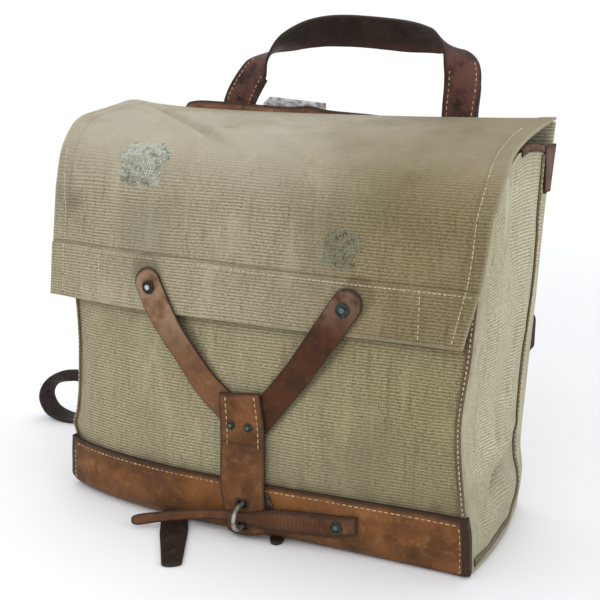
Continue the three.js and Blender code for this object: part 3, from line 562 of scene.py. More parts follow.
@dataclass(frozen=True)
class CanvasFinish:
    """Ribbed canvas: pale weft lines over dark warp columns, faded above, stained, and olive to the right."""

    name: str
    colour: Triple
    thread: Triple
    shade: Triple
    faded: Triple = (0.44, 0.405, 0.325)
    fade: Pair = (2.0, 3.0)
    rib: float = 0.00228
    upright: float = 0.4
    olive: float = 0.0

    def build(self) -> Material:
        """Makes the material.

        Returns:
            The canvas: weft lines are a sine wave of the flat place broken up by noise drawn along them.
        """
        g = Graph(self.name)
        flat, place = g.cloth_place(), g.object_place()
        s, t, _ = g.parts(flat)
        x, _, height = g.parts(place)
        sway = g.times(g.noise(g.scaled(flat, 16, 40), 1, 1), 0.003)
        weft = g.math("SINE", g.times(g.plus(t, sway), 2 * math.pi / self.rib))
        warp = g.math("SINE", g.times(g.plus(s, sway), 2 * math.pi / 0.0017))
        slub = g.noise(g.scaled(flat, 420, 1000), 1, 2, 0.6)
        drawn = g.plus(g.times(weft, 0.55), g.times(slub, 3.6))
        lines = g.stretch(g.plus(drawn, g.times(warp, 0.16)), 1.0, 2.7)
        posts = g.patches(0.36, 0.66, g.scaled(flat, 620, 90), 1, 3, 0.7)
        cloth = g.mix(g.times(posts, self.upright), self.shade, self.colour)
        cloth = g.mix(0.42, cloth, self.colour)
        haze = g.times(g.stretch(height, *self.fade), g.patches(0.25, 0.55, place, 14, 3))
        plain = g.stretch(haze, 0, 1, 0.86, 0.4)
        cloth = g.stain(cloth, lines, plain, self.thread)
        streak = g.patches(0.5, 0.72, g.scaled(place, 250, 250, 16), 1, 4, 0.65)
        cloth = g.stain(cloth, streak, 0.34, self.shade)
        worn = g.patches(0.52, 0.7, g.scaled(place, 60, 60, 17), 1, 3, 0.6)
        cloth = g.stain(cloth, worn, 0.3, self.thread)
        cloud = g.patches(0.44, 0.64, place, 9, 4, 0.62)
        grey = g.mix(0.6, self.shade, (0.23, 0.22, 0.15))
        cloth = g.stain(cloth, cloud, 0.42, grey)
        cloth = g.stain(cloth, haze, 0.6, self.faded)
        soiled = g.times(g.stretch(x, -0.01, 0.13), self.olive)
        cloth = g.mix(soiled, cloth, (0.58, 0.53, 0.38), "MULTIPLY")
        smudge = g.patches(0.6, 0.76, place, 26, 5, 0.7)
        cloth = g.stain(cloth, smudge, 0.4, (0.14, 0.11, 0.06))
        # the mesh's grime and painted shade: painted shadows under the flap, over the base's top edge, beside
        # the closure arms and along the facing's edge
        cloth = g.stain(cloth, g.value_of("dirt"), 0.75, (0.085, 0.06, 0.03))
        rim = g.stretch(g.value_of("rim"), 0.0, 0.0025, 1, 0)
        cloth = g.stain(cloth, rim, 0.3, self.thread)
        ribs = g.bump(lines, 0.0003, 0.8)
        fleck = g.noise(flat, 1500, 2, 0.7)
        threads = g.bump(g.plus(fleck, posts), 0.0002, 0.6, ribs)
        return g.finish(cloth, 0.93, threads, Sheen_Weight=0.1, Specular_IOR_Level=0.15)


@dataclass(frozen=True)
class LeatherFinish:
    """Old leather: grain, mottled colour, dark rubbed edges and pale scuffs."""

    name: str
    colour: Triple
    deep: Triple
    worn: Triple
    edge: Triple = (0.03, 0.018, 0.012)
    edge_width: float = 0.0016
    roughness: float = 0.56
    faded: Triple = (0.2, 0.12, 0.085)
    fade: Pair = (2.0, 3.0)

    def build(self) -> Material:
        """Makes the material.

        Returns:
            The leather: colours mixed by noise of the object's place, and by the way to the piece's rim.
        """
        g = Graph(self.name)
        place = g.object_place()
        skin = g.mix(g.patches(0.35, 0.68, place, 40, 4, 0.6), self.colour, self.deep)
        skin = g.stain(skin, g.patches(0.5, 0.75, place, 130, 4, 0.7), 0.55, self.worn)
        skin = g.stain(skin, g.patches(0.55, 0.8, place, 900, 2), 0.25, self.deep)
        paled = g.times(g.stretch(g.parts(place)[2], *self.fade), g.patches(0.3, 0.6, place, 90, 3))
        skin = g.stain(skin, paled, 0.8, self.faded)
        # the mesh's grime and painted shade, which on the tab holds a painted crease shadow
        skin = g.stain(skin, g.value_of("dirt"), 0.93, self.edge)
        flat = g.cloth_place()
        scratch = g.patches(0.64, 0.72, g.scaled(flat, 60, 1500), 1, 2, 0.6)
        skin = g.stain(skin, scratch, 0.3, self.worn)
        wander = g.times(g.math("SUBTRACT", g.noise(place, 160, 2), 0.5), self.edge_width * 1.6)
        rim = g.stretch(
            g.plus(g.value_of("rim"), wander), self.edge_width * 0.35, self.edge_width * 1.9, 1, 0
        )
        skin = g.stain(skin, rim, 0.88, self.edge)
        cells = {"Vector": place, "Scale": 900}
        pores = g.add("ShaderNodeTexVoronoi", cells, "Distance", feature="DISTANCE_TO_EDGE")
        grain = g.bump(g.stretch(pores, 0, 0.12), 0.00012, 0.5)
        lumps = g.bump(g.noise(place, 260, 4, 0.6), 0.0006, 0.5, grain)
        gloss = g.stretch(g.noise(place, 70, 3), 0.3, 0.7, self.roughness - 0.1, self.roughness + 0.14)
        return g.finish(skin, gloss, lumps, Specular_IOR_Level=0.2)


@dataclass(frozen=True)
class MetalFinish:
    """Bare or tarnished metal with spots of another colour."""

    name: str
    colour: Triple
    spots: Triple
    roughness: float = 0.38
    scale: float = 400
    metallic: float = 0.9
    crown: float = 0.0
    top: Triple = (0.5, 0.5, 0.48)

    def build(self) -> Material:
        """Makes the material: two colours mixed by noise, with a fine pitted bump.

        Returns:
            The metal.
        """
        g = Graph(self.name)
        place = g.object_place()
        tarnish = g.patches(0.42, 0.62, place, self.scale, 4, 0.65)
        shade = g.mix(tarnish, self.colour, self.spots)
        # on a rivet this attribute holds the share of the way out from its axis
        middle = g.stretch(g.value_of("dirt"), 0.3, 0.45, 1, 0)
        shade = g.stain(shade, middle, self.crown, self.top)
        rough = g.stretch(tarnish, 0, 1, self.roughness, self.roughness + 0.25)
        pits = g.bump(g.noise(place, self.scale * 5, 3), 0.00012, 0.5)
        return g.finish(shade, rough, pits, Metallic=self.metallic)


@dataclass(frozen=True)
class ThreadFinish:
    """Twisted thread."""

    name: str
    colour: Triple
    # the colour of the thread's grimy patches
    dirt: Triple

    def build(self) -> Material:
        """Makes the material: a pale thread, dirtied by noise, with a fine fibre bump.

        Returns:
            The thread.
        """
        g = Graph(self.name)
        place = g.object_place()
        shade = g.mix(g.patches(0.4, 0.66, place, 220, 3, 0.7), self.colour, self.dirt)
        fibre = g.bump(g.noise(place, 3500, 2), 0.0002, 0.7)
        return g.finish(shade, 0.85, fibre, Specular_IOR_Level=0.2)


@dataclass(frozen=True)
class FloorFinish:
    """The plain pale floor, a little greyer to the right of the bag as a painted shadow, and white far away
    from it as a painted brightening of the far backdrop.
    """

    name: str = "floor"
    colour: Triple = (0.86, 0.865, 0.88)
    grey: Triple = (0.74, 0.745, 0.755)
    white: Triple = (0.97, 0.97, 0.97)

    def build(self) -> Material:
        """Makes the material: its tone follows the way to the right, for a painted shadow, and the way from
        the bag, for painted light far off.

        Returns:
            The floor.
        """
        g = Graph(self.name)
        x, y, _ = g.parts(g.object_place())
        across = g.plus(g.times(x, 0.89), g.times(y, 0.45))
        # painted shadow: greyer to the right of the bag
        tone = g.mix(g.stretch(across, -0.15, 0.28), self.colour, self.grey)
        far = g.math("SQRT", g.plus(g.times(x, x), g.times(y, y)))
        # painted light: whiter far from the bag, on the backdrop
        tone = g.mix(g.stretch(far, 0.5, 1.8), tone, self.white)
        return g.finish(tone, 0.7, None, Specular_IOR_Level=0.2)


CANVAS_FRONT = CanvasFinish(
    "canvas_front", (0.255, 0.218, 0.115), (0.46, 0.415, 0.265), (0.1, 0.084, 0.04), upright=0.5, olive=0.45
)
CANVAS_FLAP = CanvasFinish(
    "canvas_flap", (0.285, 0.242, 0.142), (0.46, 0.415, 0.3), (0.115, 0.095, 0.05), fade=(0.236, 0.285),
    olive=0.85
)
CANVAS_SIDE = CanvasFinish(
    "canvas_side", (0.39, 0.36, 0.225), (0.6, 0.57, 0.41), (0.17, 0.155, 0.088), upright=0.3
)
SEAM_TAPE = CanvasFinish("seam_tape", (0.075, 0.045, 0.022), (0.17, 0.115, 0.062), (0.035, 0.022, 0.012))
BASE_LEATHER = LeatherFinish(
    "base_leather", (0.2, 0.078, 0.022), (0.095, 0.036, 0.01), (0.3, 0.145, 0.052), edge_width=0.0023
)
TAB_LEATHER = LeatherFinish("tab_leather", (0.18, 0.07, 0.021), (0.085, 0.032, 0.01), (0.28, 0.14, 0.055))
TONGUE_LEATHER = LeatherFinish(
    "tongue_leather", (0.13, 0.052, 0.022), (0.07, 0.027, 0.011), (0.22, 0.11, 0.055)
)
DARK_TRIM = LeatherFinish("dark_trim", (0.12, 0.042, 0.018), (0.06, 0.022, 0.01), (0.2, 0.085, 0.04))
YOKE_LEATHER = LeatherFinish("yoke_leather", (0.24, 0.115, 0.06), (0.11, 0.052, 0.027), (0.4, 0.24, 0.15))
LEFT_ARM = LeatherFinish(
    "left_arm", (0.18, 0.08, 0.032), (0.095, 0.042, 0.017), (0.27, 0.15, 0.08), faded=(0.29, 0.19, 0.12),
    fade=(0.115, 0.17)
)
RIGHT_ARM = LeatherFinish(
    "right_arm", (0.066, 0.021, 0.005), (0.032, 0.011, 0.003), (0.12, 0.048, 0.018), faded=(0.17, 0.1, 0.062),
    fade=(0.155, 0.182)
)
HANDLE_LEATHER = LeatherFinish(
    "handle_leather", (0.026, 0.012, 0.008), (0.012, 0.007, 0.005), (0.065, 0.03, 0.02),
    faded=(0.115, 0.044, 0.033), fade=(0.35, 0.335)
)
DARK_LEATHER = LeatherFinish("dark_leather", (0.03, 0.017, 0.012), (0.016, 0.01, 0.008), (0.075, 0.042, 0.03))
STEEL = MetalFinish("steel", (0.42, 0.42, 0.41), (0.16, 0.14, 0.12))
DARK_STEEL = MetalFinish("dark_steel", (0.12, 0.1, 0.08), (0.05, 0.035, 0.025), roughness=0.5)
ZINC = MetalFinish("zinc", (0.55, 0.54, 0.55), (0.3, 0.27, 0.27), roughness=0.5, scale=200)
RIVET_METAL = MetalFinish(
    "rivet_metal", (0.03, 0.05, 0.045), (0.012, 0.012, 0.01), 0.5, 700, 0.6, crown=0.75,
    top=(0.12, 0.18, 0.15)
)
BRIGHT_RIVET = MetalFinish(
    "bright_rivet", (0.03, 0.028, 0.024), (0.012, 0.011, 0.01), 0.45, 700, 0.7, crown=1.0
)
DARK_RIVET = MetalFinish("dark_rivet", (0.09, 0.06, 0.04), (0.03, 0.02, 0.015), 0.5, 700, 0.7)
PALE_THREAD = ThreadFinish("pale_thread", (0.56, 0.45, 0.27), (0.26, 0.18, 0.095))
CANVAS_THREAD = ThreadFinish("canvas_thread", (0.57, 0.52, 0.375), (0.36, 0.31, 0.2))
DARN_THREAD = ThreadFinish("darn_thread", (0.5, 0.54, 0.48), (0.13, 0.15, 0.13))
DULL_THREAD = ThreadFinish("dull_thread", (0.23, 0.25, 0.18), (0.055, 0.06, 0.042))

MATERIALS: dict[str, Material] = {}


def material_of(finish: object) -> Material:
    """The material of a finish, made once.

    Args:
        finish: The finish.

    Returns:
        Its material.
    """
    if finish.name not in MATERIALS:
        MATERIALS[finish.name] = finish.build()
    return MATERIALS[finish.name]


def grid_faces(rows: int, columns: int) -> Array:
    """The four-cornered faces of a grid of points."""
    start = np.arange(rows - 1)[:, None] * columns + np.arange(columns - 1)[None]
    return xyz(start, start + columns, start + columns + 1, start + 1).reshape(-1, 4)


def facing_out(points: Array, quads: Array, threes: Array) -> tuple[Array, Array]:
    """Faces turned so that their closed surface holds a positive volume.

    Args:
        points: The points.
        quads: The four-cornered faces.
        threes: The three-cornered faces.

    Returns:
        Both sets of faces.
    """
    a, b, c, d = (points[quads[:, k]] for k in range(4))
    volume = np.einsum("ij,ij->", a, np.cross(b, c)) + np.einsum("ij,ij->", a, np.cross(c, d))
    a, b, c = (points[threes[:, k]] for k in range(3))
    volume += np.einsum("ij,ij->", a, np.cross(b, c))
    return (quads[:, ::-1], threes[:, ::-1]) if volume < 0 else (quads, threes)


NO_FACES = np.zeros((0, 3), dtype=int)


@dataclass(frozen=True)
class Piece:
    """What a finished piece needs to join the model."""

    name: str
    finish: object
    slot: str
    replaces: tuple[str, ...] = ()
    bevel: float = 0.0


def shown(made: Object) -> Object:
    """Puts an object in the scene."""
    bpy.context.scene.collection.objects.link(made)
    return made


def make_object(
    piece: Piece,
    points: Array,
    quads: Array,
    threes: Array = NO_FACES,
    flat: Array | None = None,
    rim: Array | None = None,
    dirt: Array | None = None,
) -> Object:
    """Makes a piece's object from millimetres and tells the frame about it.

    Args:
        piece: Its name, finish, slot and the nodes that it stands for.
        points: Its points, in millimetres.
        quads: Its four-cornered faces, by point.
        threes: Its three-cornered faces, by point.
        flat: The flat place of each point, in millimetres, or None.
        rim: The way from each point to the piece's edge, in millimetres, or None.
        dirt: How dark each point is made by grime and painted shade, from 0 to 1, or None.

    Returns:
        The object, at the origin, with its place in its mesh.
    """
    mesh = bpy.data.meshes.new(piece.name)
    quads, threes = facing_out(points, quads, threes)
    corners = np.concatenate([quads.ravel(), threes.ravel()]).astype(np.int32)
    starts = np.concatenate([np.arange(len(quads)) * 4, len(quads) * 4 + np.arange(len(threes)) * 3])
    mesh.vertices.add(len(points))
    mesh.vertices.foreach_set("co", (points * MM).astype(np.float32).ravel())
    mesh.loops.add(len(corners))
    mesh.loops.foreach_set("vertex_index", corners)
    mesh.polygons.add(len(starts))
    mesh.polygons.foreach_set("loop_start", starts.astype(np.int32))
    mesh.update(calc_edges=True)
    mesh.validate()
    flat = points[:, [0, 2]] if flat is None else flat
    rim = np.full(len(points), FAR) if rim is None else rim
    layer = mesh.uv_layers.new(name="flat")
    layer.data.foreach_set("uv", (flat[corners] * MM).astype(np.float32).ravel())
    dirt = np.zeros(len(points)) if dirt is None else np.clip(dirt, 0, 1)
    # grime and painted shade are stored as a point attribute for the finishes
    for name, values in (("rim", rim * MM), ("dirt", dirt)):
        mesh.attributes.new(name, "FLOAT", "POINT").data.foreach_set("value", values.astype(np.float32))
    mesh.polygons.foreach_set("use_smooth", np.ones(len(mesh.polygons), dtype=bool))
    made = shown(bpy.data.objects.new(piece.name, mesh))
    mesh.materials.append(material_of(piece.finish))
    if piece.bevel:
        round_edges = made.modifiers.new("round_edges", "BEVEL")
        round_edges.width = piece.bevel * MM
        round_edges.segments = 2
        round_edges.limit_method = "ANGLE"
        round_edges.angle_limit = math.radians(48)
    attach(made, BODY)
    if piece.replaces:
        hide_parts(*piece.replaces)
    LOG.info("made %s: %d points", piece.name, len(points))
    return made


def flat_place(points: Array) -> Array:
    """The flat place of a grid's points: the way gone along the mean line of each direction.

    Args:
        points: The grid's points.

    Returns:
        The two ways of each point.
    """
    along = np.linalg.norm(np.diff(points, axis=0), axis=-1).mean(1)
    across = np.linalg.norm(np.diff(points, axis=1), axis=-1).mean(0)
    s, t = (np.concatenate([[0], np.cumsum(way)]) for way in (along, across))
    return np.stack(np.meshgrid(s, t, indexing="ij"), -1)


@dataclass(frozen=True)
class Hole:
    """A hole through a sheet: its middle in shares, its half sizes in millimetres, and how square it is."""

    u: float
    v: float
    half: Pair
    power: float = 2.0


def punch(us: Array, vs: Array, flat: Array, holes: Sequence[Hole]) -> tuple[Array, Array, Array, Array]:
    """Opens holes in a grid and draws the points round them on to their rims.

    A hole is where (|a| ** p + |b| ** p) is under 1, with a and b the flat ways from its middle in half
    sizes.

    Args:
        us: The grid's first shares.
        vs: The grid's second shares.
        flat: The flat place of each point, in millimetres.
        holes: The holes.

    Returns:
        The moved points' shares u and v, which faces stay, and the way from each point to the nearest hole.
    """
    along, across = flat[:, 0, 0], flat[0, :, 1]
    s, t = flat[..., 0].copy(), flat[..., 1].copy()
    keep = np.ones((len(us) - 1, len(vs) - 1), dtype=bool)
    way = np.full(s.shape, FAR)
    for hole in holes:
        middle = np.interp(hole.u, us, along), np.interp(hole.v, vs, across)
        a, b = np.abs(s - middle[0]) / hole.half[0], np.abs(t - middle[1]) / hole.half[1]
        far = np.maximum((a**hole.power + b**hole.power) ** (1 / hole.power), 1e-6)
        inside = (far[:-1, :-1] + far[1:, :-1] + far[:-1, 1:] + far[1:, 1:]) / 4 < 1
        keep &= ~inside
        wide = np.pad(inside, 1)
        near = np.stack([wide[:-1, :-1], wide[1:, :-1], wide[:-1, 1:], wide[1:, 1:]])
        rim = near.any(0) & ~near.all(0)
        s = np.where(rim, middle[0] + (s - middle[0]) / far, s)
        t = np.where(rim, middle[1] + (t - middle[1]) / far, t)
        way = np.minimum(way, np.maximum(np.where(rim, 0, far - 1), 0) * min(hole.half))
    return np.interp(s, along, us), np.interp(t, across, vs), keep, way


class Skin:
    """A surface of two shares, u and v, in millimetres, with the side that it shows."""

    outward: Triple = (0.0, -1.0, 0.0)

    def place(self, u: Array, v: Array) -> Array:
        """The points of the outer face."""
        raise NotImplementedError

    def dirt(self, u: Array, v: Array) -> Array:
        """How dark the surface is made by grime and painted shade, from 0 to 1."""
        return np.zeros(np.shape(u))

    def normal(self, u: Array, v: Array) -> Array:
        """The unit normals out of the outer face: the cross product of its two slopes.

        Args:
            u, v: Its shares.

        Returns:
            The normals.
        """
        near = 0.0015
        across = self.place(np.minimum(u + near, 1), v) - self.place(np.maximum(u - near, 0), v)
        along = self.place(u, np.minimum(v + near, 1)) - self.place(u, np.maximum(v - near, 0))
        out = unit(np.cross(across, along))
        return out * (1.0 if (out @ np.array(self.outward)).sum() >= 0 else -1.0)

    def build(
        self, piece: Piece, us: Array | int, vs: Array | int, thickness: float, holes: Sequence[Hole] = ()
    ) -> Object:
        """Makes the sheet: the outer face, the same moved in along its normals, and walls between their rims.

        Args:
            piece: What it is.
            us: The first shares of the grid, or how many even ones.
            vs: The second shares of the grid, or how many even ones.
            thickness: How thick it is.
            holes: The holes through it.

        Returns:
            The object.
        """
        us, vs = (np.linspace(0, 1, each) if isinstance(each, int) else each for each in (us, vs))
        u, v = np.meshgrid(us, vs, indexing="ij")
        flat = flat_place(self.place(u, v))
        u, v, keep, way = punch(us, vs, flat, holes)
        outer = self.place(u, v)
        inner = outer - self.normal(u, v) * thickness
        last = flat[-1, -1]
        sides = np.stack([flat[..., 0], last[0] - flat[..., 0], flat[..., 1], last[1] - flat[..., 1], way])
        rim = sides.min(0).ravel()
        count = u.size
        face = grid_faces(*u.shape)[keep.ravel()]
        start, end = face.ravel(), np.roll(face, -1, axis=1).ravel()
        lone = ~np.isin(start * count + end, end * count + start)
        a, b = start[lone], end[lone]
        wall = xyz(b, a, a + count, b + count)
        quads = np.concatenate([face, face[:, ::-1] + count, wall])
        points = np.concatenate([outer.reshape(-1, 3), inner.reshape(-1, 3)])
        used = np.zeros(len(points), dtype=bool)
        used[quads.ravel()] = True
        order = np.cumsum(used) - 1
        both = np.concatenate([flat.reshape(-1, 2)] * 2)[used]
        rims = np.concatenate([rim, rim])[used]
        dirt = np.concatenate([self.dirt(u, v).ravel()] * 2)[used]
        return make_object(piece, points[used], order[quads], NO_FACES, both, rims, dirt)


def crowded(count: int, near: float = 0.015, extra: int = 6) -> Array:
    """Shares from 0 to 1, with more of them near both ends."""
    close = np.linspace(0, near, extra)
    return np.unique(np.concatenate([close, np.linspace(near, 1 - near, count), 1 - close]))


def tube_faces(rings: int, sides: int, first: int) -> tuple[Array, Array]:
    """The faces of a tube of rings that is closed at both ends.

    Args:
        rings: How many rings it has.
        sides: The points of a ring.
        first: The number of the middle point of the first end; that of the last end follows it.

    Returns:
        The four-cornered faces between the rings, and the three-cornered faces of the ends.
    """
    around, after = np.arange(sides), np.roll(np.arange(sides), -1)
    base = np.arange(rings - 1)[:, None] * sides
    quads = xyz(base + around, base + sides + around, base + sides + after, base + after).reshape(-1, 4)
    last = (rings - 1) * sides
    start = xyz(np.full(sides, first), around, after)
    end = xyz(np.full(sides, first + 1), last + after, last + around)
    return quads, np.concatenate([start, end])


def revolve(piece: Piece, profile: Array, centre: Array, sides: int = 28) -> Object:
    """Makes a turned piece whose axis runs to the front through its centre.

    Args:
        piece: What it is.
        profile: Rows of radius and height over the seat, from the seat's middle to the top's middle.
        centre: The middle of its seat.
        sides: Points round it.

    Returns:
        The object.
    """
    angle = np.linspace(0, 2 * math.pi, sides, endpoint=False)
    radius, rise = profile[1:-1, :1], profile[1:-1, 1:]
    x, z = radius * np.cos(angle), radius * np.sin(angle)
    rings = xyz(x, np.broadcast_to(-rise, x.shape), z).reshape(-1, 3)
    poles = np.array([[0, -profile[0, 1], 0], [0, -profile[-1, 1], 0]])
    points = np.concatenate([rings, poles]) + centre
    away = np.concatenate([np.repeat(profile[1:-1, 0], sides), [0, 0]]) / profile[:, 0].max()
    return make_object(piece, points, *tube_faces(len(profile) - 2, sides, len(rings)), dirt=away)


def rod(piece: Piece, path: Array, radius: float, side: Array, sides: int = 16) -> Object:
    """Makes a round rod along a path that lies in a plane.

    Args:
        piece: What it is.
        path: Points of its middle line.
        radius: Its radius.
        side: The direction square to the path's plane.
        sides: Points round it.

    Returns:
        The object, with flat ends.
    """
    tangent = unit(np.gradient(path, axis=0))
    out = np.cross(tangent, side)
    angle = np.linspace(0, 2 * math.pi, sides, endpoint=False)[None, :, None]
    rings = path[:, None] + radius * (np.cos(angle) * side + np.sin(angle) * out[:, None])
    points = np.concatenate([rings.reshape(-1, 3), path[:1], path[-1:]])
    return make_object(piece, points, *tube_faces(len(path), sides, len(path) * sides))


@dataclass(frozen=True)
class Thread:
    """Short visible lengths of thread, each a six-sided capsule that dips into the cloth at its ends."""

    radius: float = 0.42
    length: float = 3.1
    pitch: float = 4.3

    def bits(self, piece: Piece, centre: Array, along: Array, out: Array, length: Array) -> Object:
        """Makes one object of many short lengths.

        Args:
            piece: What it is.
            centre: The middle of each length.
            along: Its unit direction.
            out: The unit normal of what it lies on.
            length: Its length.

        Returns:
            The object: four rings of six points for each length, closed by four-cornered ends.
        """
        share, thick, lift = np.array([[-0.5, 0.6, -0.7], [-0.3, 1, 0.3], [0.3, 1, 0.3], [0.5, 0.6, -0.7]]).T
        angle = np.arange(6) * math.pi / 3
        side = np.cross(along, out)
        axis = centre[:, None] + along[:, None] * (share * length[:, None])[..., None]
        axis = axis + out[:, None] * (lift * self.radius)[None, :, None]
        ring = np.cos(angle)[:, None] * side[:, None, None] + np.sin(angle)[:, None] * out[:, None, None]
        points = axis[:, :, None] + ring * (thick * self.radius)[None, :, None, None]
        around, after = np.arange(6), np.roll(np.arange(6), -1)
        base = (np.arange(3) * 6)[:, None]
        body = xyz(base + around, base + after, base + 6 + after, base + 6 + around).reshape(-1, 4)
        ends = np.array([[0, 3, 2, 1], [0, 5, 4, 3], [18, 19, 20, 21], [18, 21, 22, 23]])
        unit_faces = np.concatenate([body, ends])
        faces = (np.arange(len(centre)) * 24)[:, None, None] + unit_faces[None]
        return make_object(piece, points.reshape(-1, 3), faces.reshape(-1, 4))

    def rows(self, piece: Piece, lines: Sequence[tuple[Skin, Array]], seed: int = 1) -> Object:
        """Sews rows of stitches.

        Args:
            piece: What the stitches are.
            lines: Each row's surface, and its line as rows of the shares u and v.
            seed: Seed of the stitches' small irregularities.

        Returns:
            The object, with a stitch at every pitch of every line.
        """
        draw = np.random.default_rng(seed)
        found = [self.row(skin, way, draw) for skin, way in lines]
        centre, along, out, length = (np.concatenate(each) for each in zip(*found))
        return self.bits(piece, centre, along, out, length)

    def row(self, skin: Skin, way: Array, draw: np.random.Generator) -> tuple[Array, Array, Array, Array]:
        """The middles, directions, normals and lengths of one row's stitches.

        Args:
            skin: What is sewn.
            way: The line, as rows of its shares.
            draw: The random draws.

        Returns:
            The middles, directions, normals and lengths.
        """
        many = np.linspace(0, 1, 500)
        keys = np.linspace(0, 1, len(way))
        u, v = (np.interp(many, keys, way[:, axis]) for axis in (0, 1))
        path = skin.place(u, v)
        gone = way_gone(path)
        count = max(int(gone[-1] / self.pitch), 1)
        at = (np.arange(count) + 0.5) * gone[-1] / count + draw.normal(0, 0.12, count)
        u, v = np.interp(at, gone, u), np.interp(at, gone, v)
        near = (at + 0.6, at - 0.6)
        ahead, behind = (np.stack([np.interp(each, gone, axis) for axis in path.T], 1) for each in near)
        out = skin.normal(u, v)
        run = unit(ahead - behind)
        along = laid_on(unit(run + np.cross(out, run) * draw.normal(0, 0.06, (count, 1))), out)
        length = self.length * draw.uniform(0.85, 1.1, count)
        return skin.place(u, v), along, out, length


def line(*stops: Pair) -> Array:
    """A line on a surface, as rows of its shares u and v."""
    return np.array(stops, float)


def shadow_beside_arms(x: Array, z: Array) -> Array:
    """A painted shadow along the lower right edge of each closure arm: a bell of the way past the arm's edge.

    Args:
        x: Places across the front.
        z: Heights.

    Returns:
        How dark the painted shadow is at each place, from 0 to 1.
    """
    closure = Closure()
    total = np.zeros(np.shape(x))
    for stops in (closure.left_arm, closure.right_arm):
        path = stops * [BAG.half_width, closure.arm_top]
        path[-1, 0] = 0
        middle = evenly(spline(path, np.linspace(0, 1, 200)), 60) + [0.8, -1.2]
        way = np.hypot(x[..., None] - middle[:, 0], z[..., None] - middle[:, 1]).min(-1)
        total = np.maximum(total, 1 - ease(way, 0.5 * closure.arm_width, 0.5 * closure.arm_width + 2.4))
    return total


@dataclass
class FrontSkin(Skin):
    """The canvas front, rolled round into the side seams."""

    roll: float = 3.2

    def place(self, u: Array, v: Array) -> Array:
        """The outer face: across and up; y sheds its bulge and follows a quarter circle near the seams.

        Args:
            u, v: Its shares.

        Returns:
            The points.
        """
        z = BAG.round + (BAG.front_top - BAG.round) * v
        left, right = BAG.seams_x(-BAG.half_depth, z)
        x = left + (right - left) * u
        near = np.minimum(x - left, right - x)
        turn = self.roll - np.sqrt(self.roll**2 - np.clip(self.roll - near, 0, self.roll) ** 2)
        bulge = (BAG.front_y(x, z) + BAG.half_depth) * ease(near, -2, 20)
        return xyz(x, bulge - BAG.half_depth + turn + 0.45 * bell(near, 5.2, 1.3), z)

    def dirt(self, u: Array, v: Array) -> Array:
        """Dark along the side seams, with grime and a painted shadow over the base's top edge, a smear near
        the closure, and painted shadows under the flap and beside the closure arms.

        Args:
            u, v: Its shares.

        Returns:
            How dark it is made by grime and painted shadow, from 0 to 1.
        """
        x, _, z = np.moveaxis(self.place(u, v), -1, 0)
        patchy = 0.65 + 0.35 * ripple(x, z, 16, 61)
        seams = 0.75 * bell(np.minimum(u, 1 - u) * BAG.width, 1.5, 3.2) * patchy
        # grime and a painted shadow along the base's top edge
        low = 0.6 * bell(z, 43, 7) * patchy
        # a smear near the closure, and a painted shadow on the canvas under the flap
        smear_and_flap_shadow = 0.22 * bell(x + 10, 0, 60) * bell(z, 112, 34) + 0.16 * bell(z, 168, 12)
        # painted shadows: a thin line under the flap's lower edge, and one just at the base's top edge
        flap_and_base_shadows = 0.5 * bell(z, 158.5, 2.6) + 0.35 * bell(z, 41.5, 2.5)
        # the painted shadow beside the closure arms
        return seams + low + smear_and_flap_shadow * patchy + np.maximum(flap_and_base_shadows, 0.6 * shadow_beside_arms(x, z))


# a crease's line from one y and z to another, then its width and how far it stands out
CREASES = np.array(
    [
        [-42, 252, -36, 166, 9, 2.4], [-36, 166, -27, 75, 8, 2.6], [-27, 75, -38, 20, 9, 1.8],
        [-51, 250, -48, 140, 5, -1.8], [14, 170, -2, 105, 6, 2], [-2, 105, -8, 72, 6, 1.4],
        [26, 160, 8, 95, 5, -1.8], [30, 66, -22, 50, 4.5, -3.2], [30, 77, -15, 63, 6, 2.4],
        [20, 238, 6, 190, 9, 1.8], [38, 215, 30, 150, 5, 1.6], [5, 40, -30, 28, 6, 1.6],
        [-14, 262, -10, 215, 6, -1.5],
    ]
)


